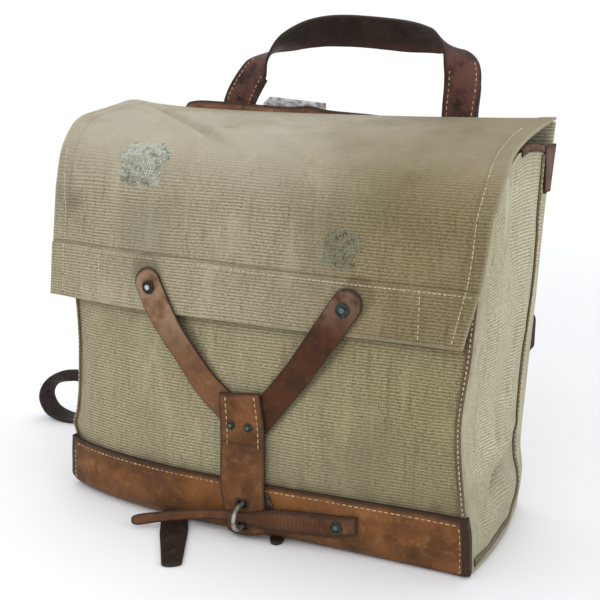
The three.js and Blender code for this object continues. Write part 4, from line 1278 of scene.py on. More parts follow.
@dataclass
class GussetSkin(Skin):
    """One canvas gusset, with its soft upright fold and the creases where it has sagged."""

    side: Side = Side.RIGHT

    def __post_init__(self) -> None:
        """Turns its outer side to the bag's side."""
        self.outward = (float(self.side.value), 0.0, 0.0)

    def creases(self, y: Array, z: Array) -> Array:
        """How far folds move it out.

        A fold is a bell across its line, faded past the line's ends, and soft waves are added to them all.

        Args:
            y: Places along the depth.
            z: Heights.

        Returns:
            The way out, still at the seams.
        """
        total = 1.2 * ripple(y, z * 0.5, 48, 21 + self.side.value) + 0.4 * ripple(y, z * 0.6, 18, 23)
        for y0, z0, y1, z1, width, height in CREASES:
            length = math.hypot(y1 - y0, z1 - z0)
            along = ((y - y0) * (y1 - y0) + (z - z0) * (z1 - z0)) / length
            across = ((y - y0) * (z1 - z0) - (z - z0) * (y1 - y0)) / length
            past = np.maximum(np.abs(along - length / 2) - length / 2, 0)
            total = total + 1.9 * height * bell(across, 0, width) * bell(past, 0, 1.3 * width)
        share = np.clip(y / BAG.depth + 0.5, 0, 1)
        still = np.sin(math.pi * share) ** 0.6 * (1 - 0.8 * ease(share, 0.58, 0.76))
        return total * still * ease(z, 3, 16)

    def dirt(self, u: Array, v: Array) -> Array:
        """Dark along its seams and low down.

        Args:
            u, v: Its shares.

        Returns:
            The dirt, from 0 to 1.
        """
        _, y, z = np.moveaxis(self.place(u, v), -1, 0)
        patchy = 0.6 + 0.4 * ripple(y, z, 14, 71)
        return (0.6 * bell(u, 0, 0.025) + 0.5 * bell(z, 0, 9) + 0.35 * bell(u, 1, 0.05)) * patchy

    def place(self, u: Array, v: Array) -> Array:
        """The outer face: u to the back and v up to the curved top edge, clear of the base's round.

        Args:
            u, v: Its shares.

        Returns:
            The points.
        """
        top = BAG.height * follow(BAG.gusset_top, u, 1)
        bottom = 0.4
        z = bottom + (top - bottom) * v
        curve = 5.0 if self.side is Side.RIGHT else BAG.round
        inner = curve - BAG.leather
        centre = -BAG.half_depth - BAG.gap - BAG.leather + curve
        below = np.clip(curve - z, 0, inner)
        on_round = centre - np.sqrt(np.maximum(inner**2 - below**2, 0)) + BAG.gap
        front = np.maximum(-BAG.half_depth + 2.0, on_round)
        back = BAG.half_depth - BAG.canvas - BAG.gap
        y = front + (back - front) * u
        tuck = 0.6 * np.exp(-(y - front) / 1.6)
        out = BAG.gusset_x(self.side, y, z)
        return xyz(out + self.side.value * (self.creases(y, z) - tuck), y, z)


class BackSkin(Skin):
    """The canvas back, up to just under the flap's back edge."""

    outward = (0.0, 1.0, 0.0)

    def place(self, u: Array, v: Array) -> Array:
        """The outer face: across from seam to seam and up, flat but for soft waves.

        Args:
            u, v: Its shares.

        Returns:
            The points.
        """
        height = BAG.height * v
        left, right = BAG.seams_x(BAG.half_depth, height)
        x = left + (right - left) * u
        share = np.clip((x / BAG.half_width + 1.09) / 2.165, 0, 1)
        top = BAG.flap_point(share, np.zeros(np.shape(u)))[..., 2] - BAG.canvas - 3 * BAG.gap
        bottom = BAG.leather + BAG.gap
        z = bottom + (top - bottom) * v
        inward = 0.5 + 0.5 * ripple(x, z, 80, 31)
        y = BAG.half_depth - inward * ease(v, 0, 0.1) * (1 - ease(v, 0.88, 1))
        return xyz(x, y, z)


@dataclass
class FlapSkin(Skin):
    """The flap: over the top and down the front."""

    outward = (0.0, -1.0, 1.0)

    def share_at(self, x: float, v: float) -> float:
        """The share u of a place at x on the part that hangs down.

        Args:
            x: A place across.
            v: A share down.

        Returns:
            The share u.
        """
        fall = np.array((v - BAG.flap_fold) / (1 - BAG.flap_fold))
        left, right = (follow(BAG.flap_sides, fall, column) for column in (1, 2))
        return float((x / BAG.half_width - left) / (right - left))

    def place(self, u: Array, v: Array) -> Array:
        """The outer face: the flap, with a slack fold at the top left, and waves that die at its turn.

        Args:
            u, v: Its shares.

        Returns:
            The points.
        """
        points = BAG.flap_point(u, v)
        x, y = points[..., 0], points[..., 1]
        top = 1 - ease(v, BAG.flap_fold - 0.22, BAG.flap_fold)
        still = ease(v, 0, 0.07)
        way = y - 31 + (x + 144) * 0.66
        reach = ease(x, -172, -140) * (1 - ease(x, -70, 10))
        fold = (-6.0 * bell(way, 3, 6) + 4.0 * bell(way, -10, 8)) * reach
        waves = 1.0 * ripple(x, y, 95, 41)
        tuck = -1.2 * bell(u, 0.965, 0.012) * ease(v, 0.1, 0.4)
        hem = 0.55 * ease(np.abs(u - 0.5), 0.463, 0.469)
        lift = (fold + waves) * top * still + tuck * top + hem
        slope = 0.35 + 0.65 * ease(v, BAG.flap_fold - 0.2, BAG.flap_fold)
        shoulder = 3.4 * bell(u, 0, 0.14) * bell(v, 0.43, 0.1)
        return points + xyz(-0.6 * shoulder, -slope * lift, (1 - slope**2) * lift + shoulder)

    def dirt(self, u: Array, v: Array) -> Array:
        """Dark over the facing's edge from grime and a painted shadow, in smudges, and beside the closure
        arms as a painted shadow; paler on the top.

        Args:
            u, v: Its shares.

        Returns:
            How dark it is made by grime and painted shadow, from 0 to 1.
        """
        x, y, z = np.moveaxis(self.place(u, v), -1, 0)
        down = v > BAG.flap_fold
        patchy = 0.6 + 0.4 * ripple(x, z, 18, 81)
        # grime and a painted shadow along the facing's top edge
        edge = 0.6 * bell(z - BAG.band_z(x), 1.4, 1.1) * down
        hems = 0.35 * bell(np.abs(u - 0.5), 0.463, 0.004) + 0.4 * bell(v, 1, 0.012)
        smudges = 0.55 * bell(u, 0.055, 0.022) * bell(v, 0.67, 0.04)
        smudges = smudges + 0.4 * bell(u, 0.82, 0.02) * bell(v, 0.53, 0.03)
        soil = 0.16 * ease(v, 0.5, 0.7) * (0.5 + 0.5 * ripple(x, z, 70, 83)) * ease(x, -40, 60)
        # the painted shadow beside the closure arms falls on the part that hangs down
        return edge + hems * patchy + smudges + soil + 0.5 * shadow_beside_arms(x, z) * down


# the way of a gusset's sewn seam in its shares: down its back and along its foot
SEAM_WAY = np.array(
    [
        [0.83, 0.985], [0.84, 0.89], [0.825, 0.735], [0.785, 0.55], [0.782, 0.4], [0.795, 0.28],
        [0.815, 0.19], [0.83, 0.13], [0.79, 0.078], [0.63, 0.048], [0.34, 0.036], [0.05, 0.028],
    ]
)


@dataclass
class CanvasBody:
    """The canvas of the bag: front, gussets and back sewn to one shell, with the bindings of its seams."""

    thickness: float = 1.6
    front: FrontSkin = field(default_factory=FrontSkin)
    back: BackSkin = field(default_factory=BackSkin)
    gussets: dict[Side, GussetSkin] = field(
        default_factory=lambda: {side: GussetSkin(side=side) for side in Side}
    )
    sewn: list[tuple[Skin, Array]] = field(default_factory=list)

    def build(self) -> None:
        """Builds the four panels, the bindings and their stitches."""
        piece = Piece("front_canvas", CANVAS_FRONT, "canvas_front", ("front_panel",), 0.4)
        self.front.build(piece, crowded(200, 0.012, 8), 120, self.thickness)
        piece = Piece("back_canvas", CANVAS_SIDE, "canvas_side", ("back_panel",), 0.4)
        self.back.build(piece, 90, 80, self.thickness)
        for side, skin in self.gussets.items():
            name = side.name.lower()
            piece = Piece(f"{name}_gusset_canvas", CANVAS_SIDE, "canvas_side", (f"gusset_{name}",), 0.4)
            low = np.linspace(0, 0.07, 14)[:-1]
            vs = np.concatenate([low, np.linspace(0.07, 1, 160)])
            skin.build(piece, crowded(90, 0.03, 8), vs, self.thickness)
            self.bind(side, skin)
        self.sew()

    def bind(self, side: Side, skin: GussetSkin) -> None:
        """Builds a gusset's back binding and the leather trim of its top edge.

        Args:
            side: The side of the bag.
            skin: The gusset.
        """
        name = side.name.lower()
        tape = BindingSkin(skin, SEAM_WAY)
        tape.build(Piece(f"{name}_seam_tape", SEAM_TAPE, "canvas_side", (), 0.3), 240, 9, 0.9)
        share = 0.5 + side.value * 0.4935
        welt = BindingSkin(
            self.front, line((share, 0.125), (share, 0.4), (share, 0.7), (share, 0.99)), 4.4, 1.0
        )
        welt.build(Piece(f"{name}_seam_welt", SEAM_TAPE, "canvas_side", (), 0.2), 120, 9, 0.9)
        inner = 0.5 + 0.17 * side.value
        self.sewn += [(welt, line((0.01, 0.5), (0.99, 0.5))), (tape, line((0.02, inner), (0.7, inner)))]
        trim = EdgeTrimSkin(skin)
        trim.build(Piece(f"{name}_gusset_trim", DARK_TRIM, "brown_leather", (), 0.3), 70, 13, 1.0)

    def sew(self) -> None:
        """Sews the bindings of the side seams."""
        Thread(0.38, 2.6, 3.6).rows(Piece("seam_stitches", CANVAS_THREAD, "canvas_side"), self.sewn, 3)


@dataclass
class BindingSkin(Skin):
    """A narrow tape sewn along a line of another surface."""

    base: Skin
    way: Array
    width: float = 6.6
    rise: float = 1.5

    def __post_init__(self) -> None:
        """Shows the same side as what it is sewn to."""
        self.outward = self.base.outward

    def place(self, u: Array, v: Array) -> Array:
        """The outer face: the line's points moved across it, and out by a half circle's height.

        Args:
            u, v: Its shares.

        Returns:
            The points.
        """
        keys = np.linspace(0, 1, len(self.way))
        table = np.column_stack([keys, self.way])
        a, b = follow(table, u, 1), follow(table, u, 2)
        near = 0.004
        ahead = self.base.place(follow(table, u + near, 1), follow(table, u + near, 2))
        before = self.base.place(follow(table, u - near, 1), follow(table, u - near, 2))
        out = self.base.normal(a, b)
        across = np.cross(unit(ahead - before), out)
        side = 2 * v - 1
        lift = self.rise * np.sqrt(np.maximum(1 - 0.8 * side**2, 0))
        return self.base.place(a, b) + across * (side * self.width / 2)[..., None] + out * lift[..., None]


@dataclass
class EdgeTrimSkin(Skin):
    """A leather binding folded over a gusset's top edge, from its outer face to its inner face."""

    base: GussetSkin
    drop: float = 3.0
    thickness: float = 1.0

    def __post_init__(self) -> None:
        """Shows the same side as the gusset at its start."""
        self.outward = (self.base.outward[0], 0.0, 0.4)

    def place(self, u: Array, v: Array) -> Array:
        """The outer face: up the gusset's outside, over its edge on a half circle and down its inside.

        Args:
            u, v: Its shares.

        Returns:
            The points.
        """
        gusset = 0.45 + 0.53 * u
        edge = self.base.place(gusset, np.ones(np.shape(u)))
        side = self.base.side.value
        half = BAG.canvas / 2 + self.thickness + 0.1
        up, over = np.clip(v / 0.35, 0, 1), np.clip((v - 0.35) / 0.3, 0, 1)
        down = np.clip((v - 0.65) / 0.35, 0, 1)
        angle = math.pi * over
        shift = side * (self.thickness + 0.1 - half + half * np.cos(angle))
        z = edge[..., 2] - self.drop * (1 - up) + half * np.sin(angle) - self.drop * down
        return xyz(edge[..., 0] + shift, edge[..., 1], z)


@dataclass
class Flap:
    """The flap with its hems, sewn facing and darned places."""

    thickness: float = 1.6
    unrolled: Pair = (336, 235)
    cut_size: Pair = (0.355, 0.262)
    skin: FlapSkin = field(default_factory=FlapSkin)

    def build(self) -> None:
        piece = Piece("flap_canvas", CANVAS_FLAP, "canvas_flap", ("flap",), 0.5)
        vs = np.unique(np.concatenate([crowded(150, 0.01, 5), np.linspace(0.79, 0.85, 61)]))
        cloth = self.skin.build(piece, crowded(150, 0.012, 5), vs, self.thickness)
        sewn = self.sew()
        left = Piece("left_darn", DARN_THREAD, "canvas_flap")
        right = Piece("right_darn", DULL_THREAD, "canvas_flap")
        darns = [self.darn(left, (0.218, 0.54), (22, 15.5), 4.2, 7)]
        darns.append(self.darn(right, (0.715, 0.742), (13, 15), 2.0, 8))

    def sew(self) -> Object:
        """Sews the facing's top edge, its two uprights and the side hems.

        Returns:
            The stitches.
        """
        xs = np.linspace(-158, 162, 24)
        vs = BAG.flap_fold + (1 - BAG.flap_fold) * (BAG.flap_turn - (BAG.band_z(xs) - 2.2)) / (
            BAG.flap_turn - BAG.flap_bottom
        )
        top = np.array([[self.skin.share_at(x, v), v] for x, v in zip(xs, vs)])
        ways = [line(*((self.skin.share_at(x, v), v) for v in (0.835, 0.985))) for x in BAG.uprights]
        ways.append(line((0.014, 0.5), (0.02, 0.58), (0.034, 0.7), (0.038, 0.985)))
        ways.append(line((0.966, 0.12), (0.966, 0.5), (0.972, 0.7), (0.976, 0.985)))
        rows = [(self.skin, way) for way in (top, *ways)]
        return Thread(0.34, 2.8, 3.3).rows(Piece("flap_stitches", CANVAS_THREAD, "canvas_flap"), rows, 5)

    def darn(self, piece: Piece, middle: Pair, half: Pair, dense: float, seed: int) -> Object:
        """Darns a worn place: broken threads in wavy columns with some across, inside a wandering outline.

        Args:
            piece: What the threads are.
            middle: The shares u and v of its middle.
            half: Half its width and height.
            dense: Threads to the square millimetre of a quarter of it.
            seed: Seed of its threads.

        Returns:
            The object.
        """
        draw = np.random.default_rng(seed)
        count = int(half[0] * half[1] * dense)
        a, b = draw.uniform(-1, 1, (2, count))
        upright = draw.random(count) < 0.72
        b = np.where(upright, b, np.round(b * half[1] / 1.7) * 1.7 / half[1])
        wave = 0.7 * np.sin(b * half[1] / 3.3 + seed)
        a = np.where(upright, (np.round(a * half[0] / 2.1) * 2.1 + wave) / half[0], a)
        edge = 0.93 + 0.16 * ripple(a * half[0], b * half[1], 14, seed)
        inside = (np.abs(a) ** 4 + np.abs(b) ** 4) ** 0.25 < edge
        a, b, upright = a[inside], b[inside], upright[inside]
        u, v = (
            at + part * size / length
            for at, part, size, length in zip(middle, (a, b), half, self.unrolled)
        )
        out = self.skin.normal(u, v)
        right = self.skin.place(u + 0.002, v) - self.skin.place(u - 0.002, v)
        down = self.skin.place(u, v + 0.002) - self.skin.place(u, v - 0.002)
        run = unit(np.where(upright[:, None], down, right))
        along = laid_on(unit(run + draw.normal(0, 0.12, (len(u), 3))), out)
        return Thread(0.36).bits(piece, self.skin.place(u, v), along, out, draw.uniform(1.6, 3.2, len(u)))


@dataclass
class BaseSkin(Skin):
    """The leather base: a strip up the front, a rounded edge and a flat bottom."""

    wrap: float = 5.5
    outward = (0.0, -1.0, -1.0)

    def place(self, u: Array, v: Array) -> Array:
        """The outer face: v in thirds for the strip, a quarter circle, and the bottom to the back.

        The strip's ends turn back round the corners, and the bottom is drawn in under the gussets.

        Args:
            u, v: Its shares.

        Returns:
            The points.
        """
        w = 3 * v
        nominal = -BAG.half_depth + BAG.depth * np.clip(w - 2, 0, 1)
        curve = BAG.round_at(BAG.width * (u - 0.5))
        high = np.where(w <= 1, BAG.strip + (curve - BAG.strip) * w, 0)
        edge = BAG.edge - 4.2 * ease(w, 1.3, 2.1)
        left, right = (BAG.gusset_x(side, nominal, high) + side.value * edge for side in Side)
        low = np.where(w <= 1, high, curve * (1 - np.sin(math.pi / 2 * np.clip(w - 1, 0, 1))))
        left = left + 8 - np.sqrt(64 - np.clip(8 - low, 0, 8) ** 2)
        reach = self.wrap * (1 - ease(w, 1.0, 1.8))
        x = left - reach + (right - left + 2 * reach) * u
        turn = np.maximum(left - x, x - right)
        x = np.clip(x, left, right)
        wear = 0.35 * ripple(x, high, 55, 51) * (w < 1) * ease(w, 0, 0.3) * (1 - ease(w, 0.7, 1))
        front = BAG.strip_y(x, high) + np.maximum(turn, 0) + 0.5 * bell(turn, 0, 1.5)
        angle = math.pi / 2 * np.clip(w - 1, 0, 1)
        start = front + curve
        y = np.where(w <= 1, front + wear, start - curve * np.cos(angle))
        y = np.where(w > 2, start + (BAG.half_depth - start) * (w - 2), y)
        z = np.where(w <= 1, high, curve - curve * np.sin(angle))
        return xyz(x, y, np.where(w > 2, 0, z))

    def dirt(self, u: Array, v: Array) -> Array:
        """Dark at its turned ends, along its edges and in rubbed places.

        Args:
            u, v: Its shares.

        Returns:
            The dirt, from 0 to 1.
        """
        ends = ease(np.abs(u - 0.5), 0.4655, 0.4672)
        x = BAG.width * u
        rubbed = 0.45 * ease(v, 0.17, 0.33) * (0.6 + 0.4 * ripple(x, 90 * v, 30, 91))
        return 1.1 * ends + rubbed + 0.35 * bell(v, 0, 0.02)


@dataclass
class LeatherBase:
    """The sewn leather base."""

    skin: BaseSkin = field(default_factory=BaseSkin)

    def build(self) -> None:
        """Builds the base and sews its top edge and its ends."""
        piece = Piece("base_leather", BASE_LEATHER, "brown_leather", ("leather_base",), 0.7)
        vs = np.unique(
            np.concatenate([np.linspace(0, 1, 34), np.linspace(1, 2, 17), np.linspace(2, 3, 34)])
        ) / 3
        self.skin.build(piece, crowded(230, 0.03, 16), vs, BAG.leather)
        rows = [(self.skin, line((0.04, 0.047), (0.5, 0.047), (0.962, 0.047)))]
        rows += [(self.skin, line((share, 0.06), (share, 0.36), (share, 0.42))) for share in (0.0355, 0.9645)]
        Thread(0.37, 3.0, 4.2).rows(Piece("base_stitches", PALE_THREAD, "brown_leather"), rows, 6)


@dataclass
class LaidStrap(Skin):
    """A strap laid on the front: its middle line in x and z, its width, and the bed that it lies on."""

    path: Array
    widths: Array
    thickness: float
    bed: Bed
    round_start: float = 0.0
    round_end: float = 0.0
    upright_end: bool = False
    crown: float = 0.25
    marks: tuple[Triple, ...] = ()

    def __post_init__(self) -> None:
        """Works out even points of the middle line."""
        self.even = evenly(spline(self.path, np.linspace(0, 1, 600)), 400)
        self.slope = unit(np.gradient(self.even, axis=0))
        self.length = float(np.linalg.norm(np.diff(self.even, axis=0), axis=1).sum())

    def dirt(self, u: Array, v: Array) -> Array:
        """Dark across the strap at its marks, each a bell of the height, its width and its strength."""
        z = self.place(u, v)[..., 2]
        return sum((much * bell(z, at, wide) for at, wide, much in self.marks), np.zeros(z.shape))

    def read(self, values: Array, share: Array) -> Array:
        """The values of the even points at shares of the way.

        Args:
            values: Values of the even points.
            share: Shares of the way.

        Returns:
            The values there.
        """
        at = share * (len(values) - 1)
        keys = np.arange(len(values))
        return np.stack([np.interp(at, keys, values[:, axis]) for axis in (0, 1)], -1)

    def place(self, u: Array, v: Array) -> Array:
        """The outer face: the middle line moved across by its width; a round end is a half circle.

        Args:
            u, v: Its shares.

        Returns:
            The points.
        """
        half = follow(self.widths, u, 1) / 2
        side = (2 * v - 1) * half
        curb = half - np.sqrt(np.maximum(half**2 - side**2, 0))
        start = curb * self.round_start / self.length
        end = 1 - curb * self.round_end / self.length
        share = np.clip(start + (end - start) * u, 0, 1)
        slope = self.read(self.slope, share)
        across = xyz(slope[..., 1], -slope[..., 0])
        lean = ease(u, 0.7, 1)[..., None] * self.upright_end
        upright = xyz(np.zeros(np.shape(side)), np.sign(across[..., 1]))
        direction = unit(across + (upright - across) * lean)
        reach = side / (direction * across).sum(-1)
        x, z = np.moveaxis(self.read(self.even, share) + direction * reach[..., None], -1, 0)
        dome = self.crown * (1 - (2 * v - 1) ** 4)
        return xyz(x, self.bed(x, z) - self.thickness - dome, z)


@dataclass
class TongueSkin(Skin):
    """The closure tongue, from its tip through the staple to its sewn end."""

    width: float = 16.4
    thickness: float = 1.8
    # x as a share of half the body's width, z of the strip's height, then the share of the width
    table: Array = chart(
        (-0.462, 0.16, 0.26), (-0.455, 0.164, 0.42), (-0.43, 0.18, 0.53), (-0.35, 0.24, 0.5),
        (-0.18, 0.34, 0.49), (-0.03, 0.41, 0.48), (0.055, 0.42, 0.5), (0.11, 0.43, 0.8), (0.18, 0.46, 1),
        (0.32, 0.465, 1.03), (0.45, 0.51, 0.98), (0.54, 0.58, 0.8),
    )

    def place(self, u: Array, v: Array) -> Array:
        """The outer face: x from tip to end, z across the width; fine ribs are pressed in by the staple.

        Args:
            u, v: Its shares.

        Returns:
            The points.
        """
        start, end = self.table[[0, -1], 0] * BAG.half_width
        x = start + (end - start) * u
        middle = BAG.strip * follow(self.table, x / BAG.half_width, 1)
        wide = self.width * follow(self.table, x / BAG.half_width, 2)
        ribs = 0.48 * np.sin(2 * math.pi * x / 2.7) * ease(x, 9, 14) * (1 - ease(x, 68, 74))
        crown = 0.3 * (1 - (2 * v - 1) ** 4) + ribs * (1 - (2 * v - 1) ** 6)
        return xyz(x, BAG.tongue_bed(x, middle) - self.thickness - crown, middle + (v - 0.5) * wide)


@dataclass
class PlateSkin(Skin):
    """The staple's steel plate, a square with round sides on the base strip."""

    centre: Pair = (8.1, 23.3)
    size: Pair = (38, 33)

    def place(self, u: Array, v: Array) -> Array:
        """The outer face: each side drawn in by the square root of 1 less 0.35 of the other share squared.

        Args:
            u, v: Its shares.

        Returns:
            The points.
        """
        a, b = 2 * u - 1, 2 * v - 1
        x = self.centre[0] + self.size[0] / 2 * a * np.sqrt(1 - 0.35 * b * b)
        z = self.centre[1] + self.size[1] / 2 * b * np.sqrt(1 - 0.35 * a * a)
        return xyz(x, BAG.strip_y(x, z) - BAG.gap - BAG.plate_thick, z)


# share of a rivet head's radius, share of its rise
RIVET = np.array(
    [
        [0, 0], [1, 0], [1, 0.3], [0.94, 0.46], [0.74, 0.52], [0.6, 0.42], [0.56, 0.5], [0.54, 0.78],
        [0.46, 0.93], [0.3, 1], [0.12, 0.96], [0, 0.92],
    ]
)


@dataclass
class Closure:
    """The closure: two arms, the tab, the staple on its plate, the tongue and the rivets."""

    arm_width: float = 21
    arm_thick: float = 2.1
    arm_top: float = 191
    tab_bottom: float = 3.5
    staple_x: float = 4.6
    staple_height: float = 17
    staple_reach: float = 13
    wire: float = 1.7
    # each mark: height, width and strength; the thin line at 72 is a painted crease shadow, the wider ones
    # are stains
    tab_marks: tuple[Triple, ...] = ((72, 1.0, 0.6), (67, 6, 0.2), (100, 7, 0.14), (27, 4, 0.3))
    # radius and rise of each kind of rivet
    arm_rivet: Pair = (5, 1.7)
    tab_rivet: Pair = (3.2, 1.6)
    tongue_rivet: Pair = (4.3, 1.6)
    # x as a share of half the body's width and z of the arms' top
    left_arm: Array = chart(
        (-0.478, 0.997), (-0.442, 0.93), (-0.375, 0.832), (-0.264, 0.69), (-0.18, 0.59), (-0.07, 0.505),
        (0, 0.455),
    )
    right_arm: Array = chart(
        (0.52, 0.995), (0.468, 0.93), (0.39, 0.826), (0.282, 0.69), (0.17, 0.567), (0.07, 0.457),
        (0.025, 0.405),
    )
    # share of the way down, x as a share of half the body's width, share of the width
    tab_line: Array = chart(
        (0, 0, 0.93), (0.25, 0.018, 1), (0.6, 0.024, 1.02), (0.83, 0.036, 0.97), (1, 0.05, 0.92),
    )

    def build(self) -> None:
        """Builds and dresses every piece of the closure."""
        self.arms()
        self.tab()
        self.metal()
        piece = Piece("tongue_leather", TONGUE_LEATHER, "brown_leather", ("closure_tongue",), 0.5)
        TongueSkin().build(piece, 420, 11, TongueSkin.thickness)
        self.rivets()

    def arms(self) -> None:
        """Builds the two arms over the flap's lower edge."""
        for name, table, end in (
            ("left", self.left_arm, -BAG.gap / 2), ("right", self.right_arm, BAG.gap / 2)
        ):
            path = table * [BAG.half_width, self.arm_top]
            path[-1, 0] = end
            widths = np.array([[0, self.arm_width], [0.12, self.arm_width], [0.5, 19.6], [1, self.arm_width]])
            arm = LaidStrap(path, widths, self.arm_thick, BAG.arm_bed, round_start=1, upright_end=True)
            piece = Piece(
                f"{name}_arm_leather", LEFT_ARM if name == "left" else RIGHT_ARM, "faded_leather",
                (f"closure_arm_{name}",), 0.6
            )
            us = np.concatenate([[0, 0.002, 0.006], np.linspace(0.012, 1, 130)])
            arm.build(piece, us, crowded(18, 0.04, 5), self.arm_thick)

    def tab(self) -> None:
        """Builds the tab with its two slots, and sews its upper part."""
        path = np.column_stack(
            [
                BAG.half_width * self.tab_line[:, 1],
                BAG.tab_top + (self.tab_bottom - BAG.tab_top) * self.tab_line[:, 0],
            ]
        )
        widths = np.column_stack([self.tab_line[:, 0], BAG.tab_width * self.tab_line[:, 2]])
        tab = LaidStrap(
            path, widths, BAG.leather, BAG.tab_bed, round_end=0.35, crown=0.3, marks=self.tab_marks
        )
        us = np.linspace(0, 1, 150)
        heights = tab.place(us, np.full(len(us), 0.5))
        holes = []
        for end in (-1, 1):
            z = BAG.staple_z + end * self.staple_height / 2
            u = float(np.interp(-z, -heights[:, 2], us))
            middle, edge = tab.place(np.array([u, u]), np.array([0.5, 1.0]))
            v = 0.5 + 0.5 * (self.staple_x - middle[0]) / (edge[0] - middle[0])
            holes.append(Hole(u, float(v), (2.7, 3.6), 4))
        piece = Piece("tab_leather", TAB_LEATHER, "brown_leather", ("closure_tab",), 0.6)
        tab.build(piece, us, 49, BAG.leather, holes)
        rows = [(tab, line((0.02, v), (0.38, v))) for v in (0.14, 0.84)]
        Thread(0.46, 3.0, 4.3).rows(Piece("tab_stitches", PALE_THREAD, "brown_leather"), rows, 9)

    def metal(self) -> None:
        """Builds the staple, a bent wire, and the plate that it is fixed to."""
        piece = Piece("plate_metal", DARK_STEEL, "steel", ("staple_plate",), 0.25)
        PlateSkin().build(piece, 30, 30, BAG.plate_thick)
        x, z = np.array(self.staple_x), np.array(BAG.staple_z)
        front = BAG.tab_bed(x, z) - BAG.leather
        foot = BAG.strip_y(x, z) - BAG.plate_thick - 2 * BAG.gap - 0.1
        half = self.staple_height / 2
        angle = np.linspace(0, math.pi, 40)
        turn = front - self.staple_reach + half
        bow = np.column_stack([turn - half * np.sin(angle), BAG.staple_z + half * np.cos(angle)])
        legs = np.array([[foot, BAG.staple_z + half], [foot, BAG.staple_z - half]])
        path = evenly(np.vstack([legs[:1], bow, legs[1:]]), 90)
        path = np.column_stack([np.full(len(path), self.staple_x), path])
        rod(Piece("staple_metal", STEEL, "steel", ("staple",), 0.2), path, self.wire, np.array([1.0, 0, 0]))

    @staticmethod
    def seat(bed: Bed, x: float, z: float, radius: float) -> float:
        """The y of a flat seat on a bed: the bed's foremost point under its rim."""
        xs, zs = x + radius * np.array([0, 1, -1, 0, 0]), z + radius * np.array([0, 0, 0, 1, -1])
        return float(bed(xs, zs).min())

    def rivets(self) -> None:
        """Builds the rivets of the arms, the tab and the tongue."""
        heads = []
        for name, row in (("left", self.left_arm[1]), ("right", self.right_arm[1])):
            x, z = row * [BAG.half_width, self.arm_top]
            y = self.seat(BAG.arm_bed, x, z, self.arm_rivet[0]) - self.arm_thick - BAG.gap
            heads.append((f"arm_rivet_{name}", self.arm_rivet, (x, y, z)))
        for name, x in (("left", -5.5), ("right", 8.0)):
            z = 0.78 * BAG.tab_top
            y = self.seat(BAG.tab_bed, x, z, self.tab_rivet[0]) - BAG.leather - BAG.gap
            heads.append((f"tab_rivet_{name}", self.tab_rivet, (x, y, z)))
        x, z = 0.452 * BAG.half_width, 0.51 * BAG.strip
        y = self.seat(BAG.tongue_bed, x, z, self.tongue_rivet[0]) - TongueSkin.thickness - BAG.gap
        heads.append(("tongue_rivet", self.tongue_rivet, (x, y, z)))
        for name, size, centre in heads:
            finish = BRIGHT_RIVET if name == "arm_rivet_left" else RIVET_METAL
            piece = Piece(f"{name}_head", finish, "rivet_metal", (name,), 0)
            revolve(piece, RIVET * size, np.array(centre))


@dataclass
class FreeStrap(Skin):
    """A strap in space: a middle line, and the directions out of its outer side."""

    points: Array
    outs: Array
    width: float
    thickness: float
    start: float = 0.0
    end: float = 1.0
    behind: float = 0.0
    cup: float = 0.0

    def frame(self, u: Array) -> tuple[Array, Array, Array]:
        """The middle, the direction across and the normal, along centripetal curves.

        Args:
            u: Shares along the strap.

        Returns:
            The middles, the directions across and the normals.
        """
        share = self.start + (self.end - self.start) * u
        tangent = heading(self.points, share)
        across = unit(np.cross(tangent, spline(self.outs, share)))
        return spline(self.points, share), across, np.cross(across, tangent)

    def place(self, u: Array, v: Array) -> Array:
        """The outer face: the middle moved across and out, its borders bent back by the cup.

        Args:
            u, v: Its shares.

        Returns:
            The points.
        """
        middle, across, out = self.frame(np.asarray(u, float))
        side = 2 * np.asarray(v, float) - 1
        off = self.thickness / 2 - self.behind - self.cup * side**2
        return middle + across * (side * self.width / 2)[..., None] + out * off[..., None]

    def normal(self, u: Array, v: Array) -> Array:
        """The unit normals, leaning outwards with the cup.

        Args:
            u, v: Its shares.

        Returns:
            The normals.
        """
        _, across, out = self.frame(np.asarray(u, float))
        side = 2 * np.asarray(v, float) - 1
        return unit(out + across * (4 * self.cup * side / self.width)[..., None])


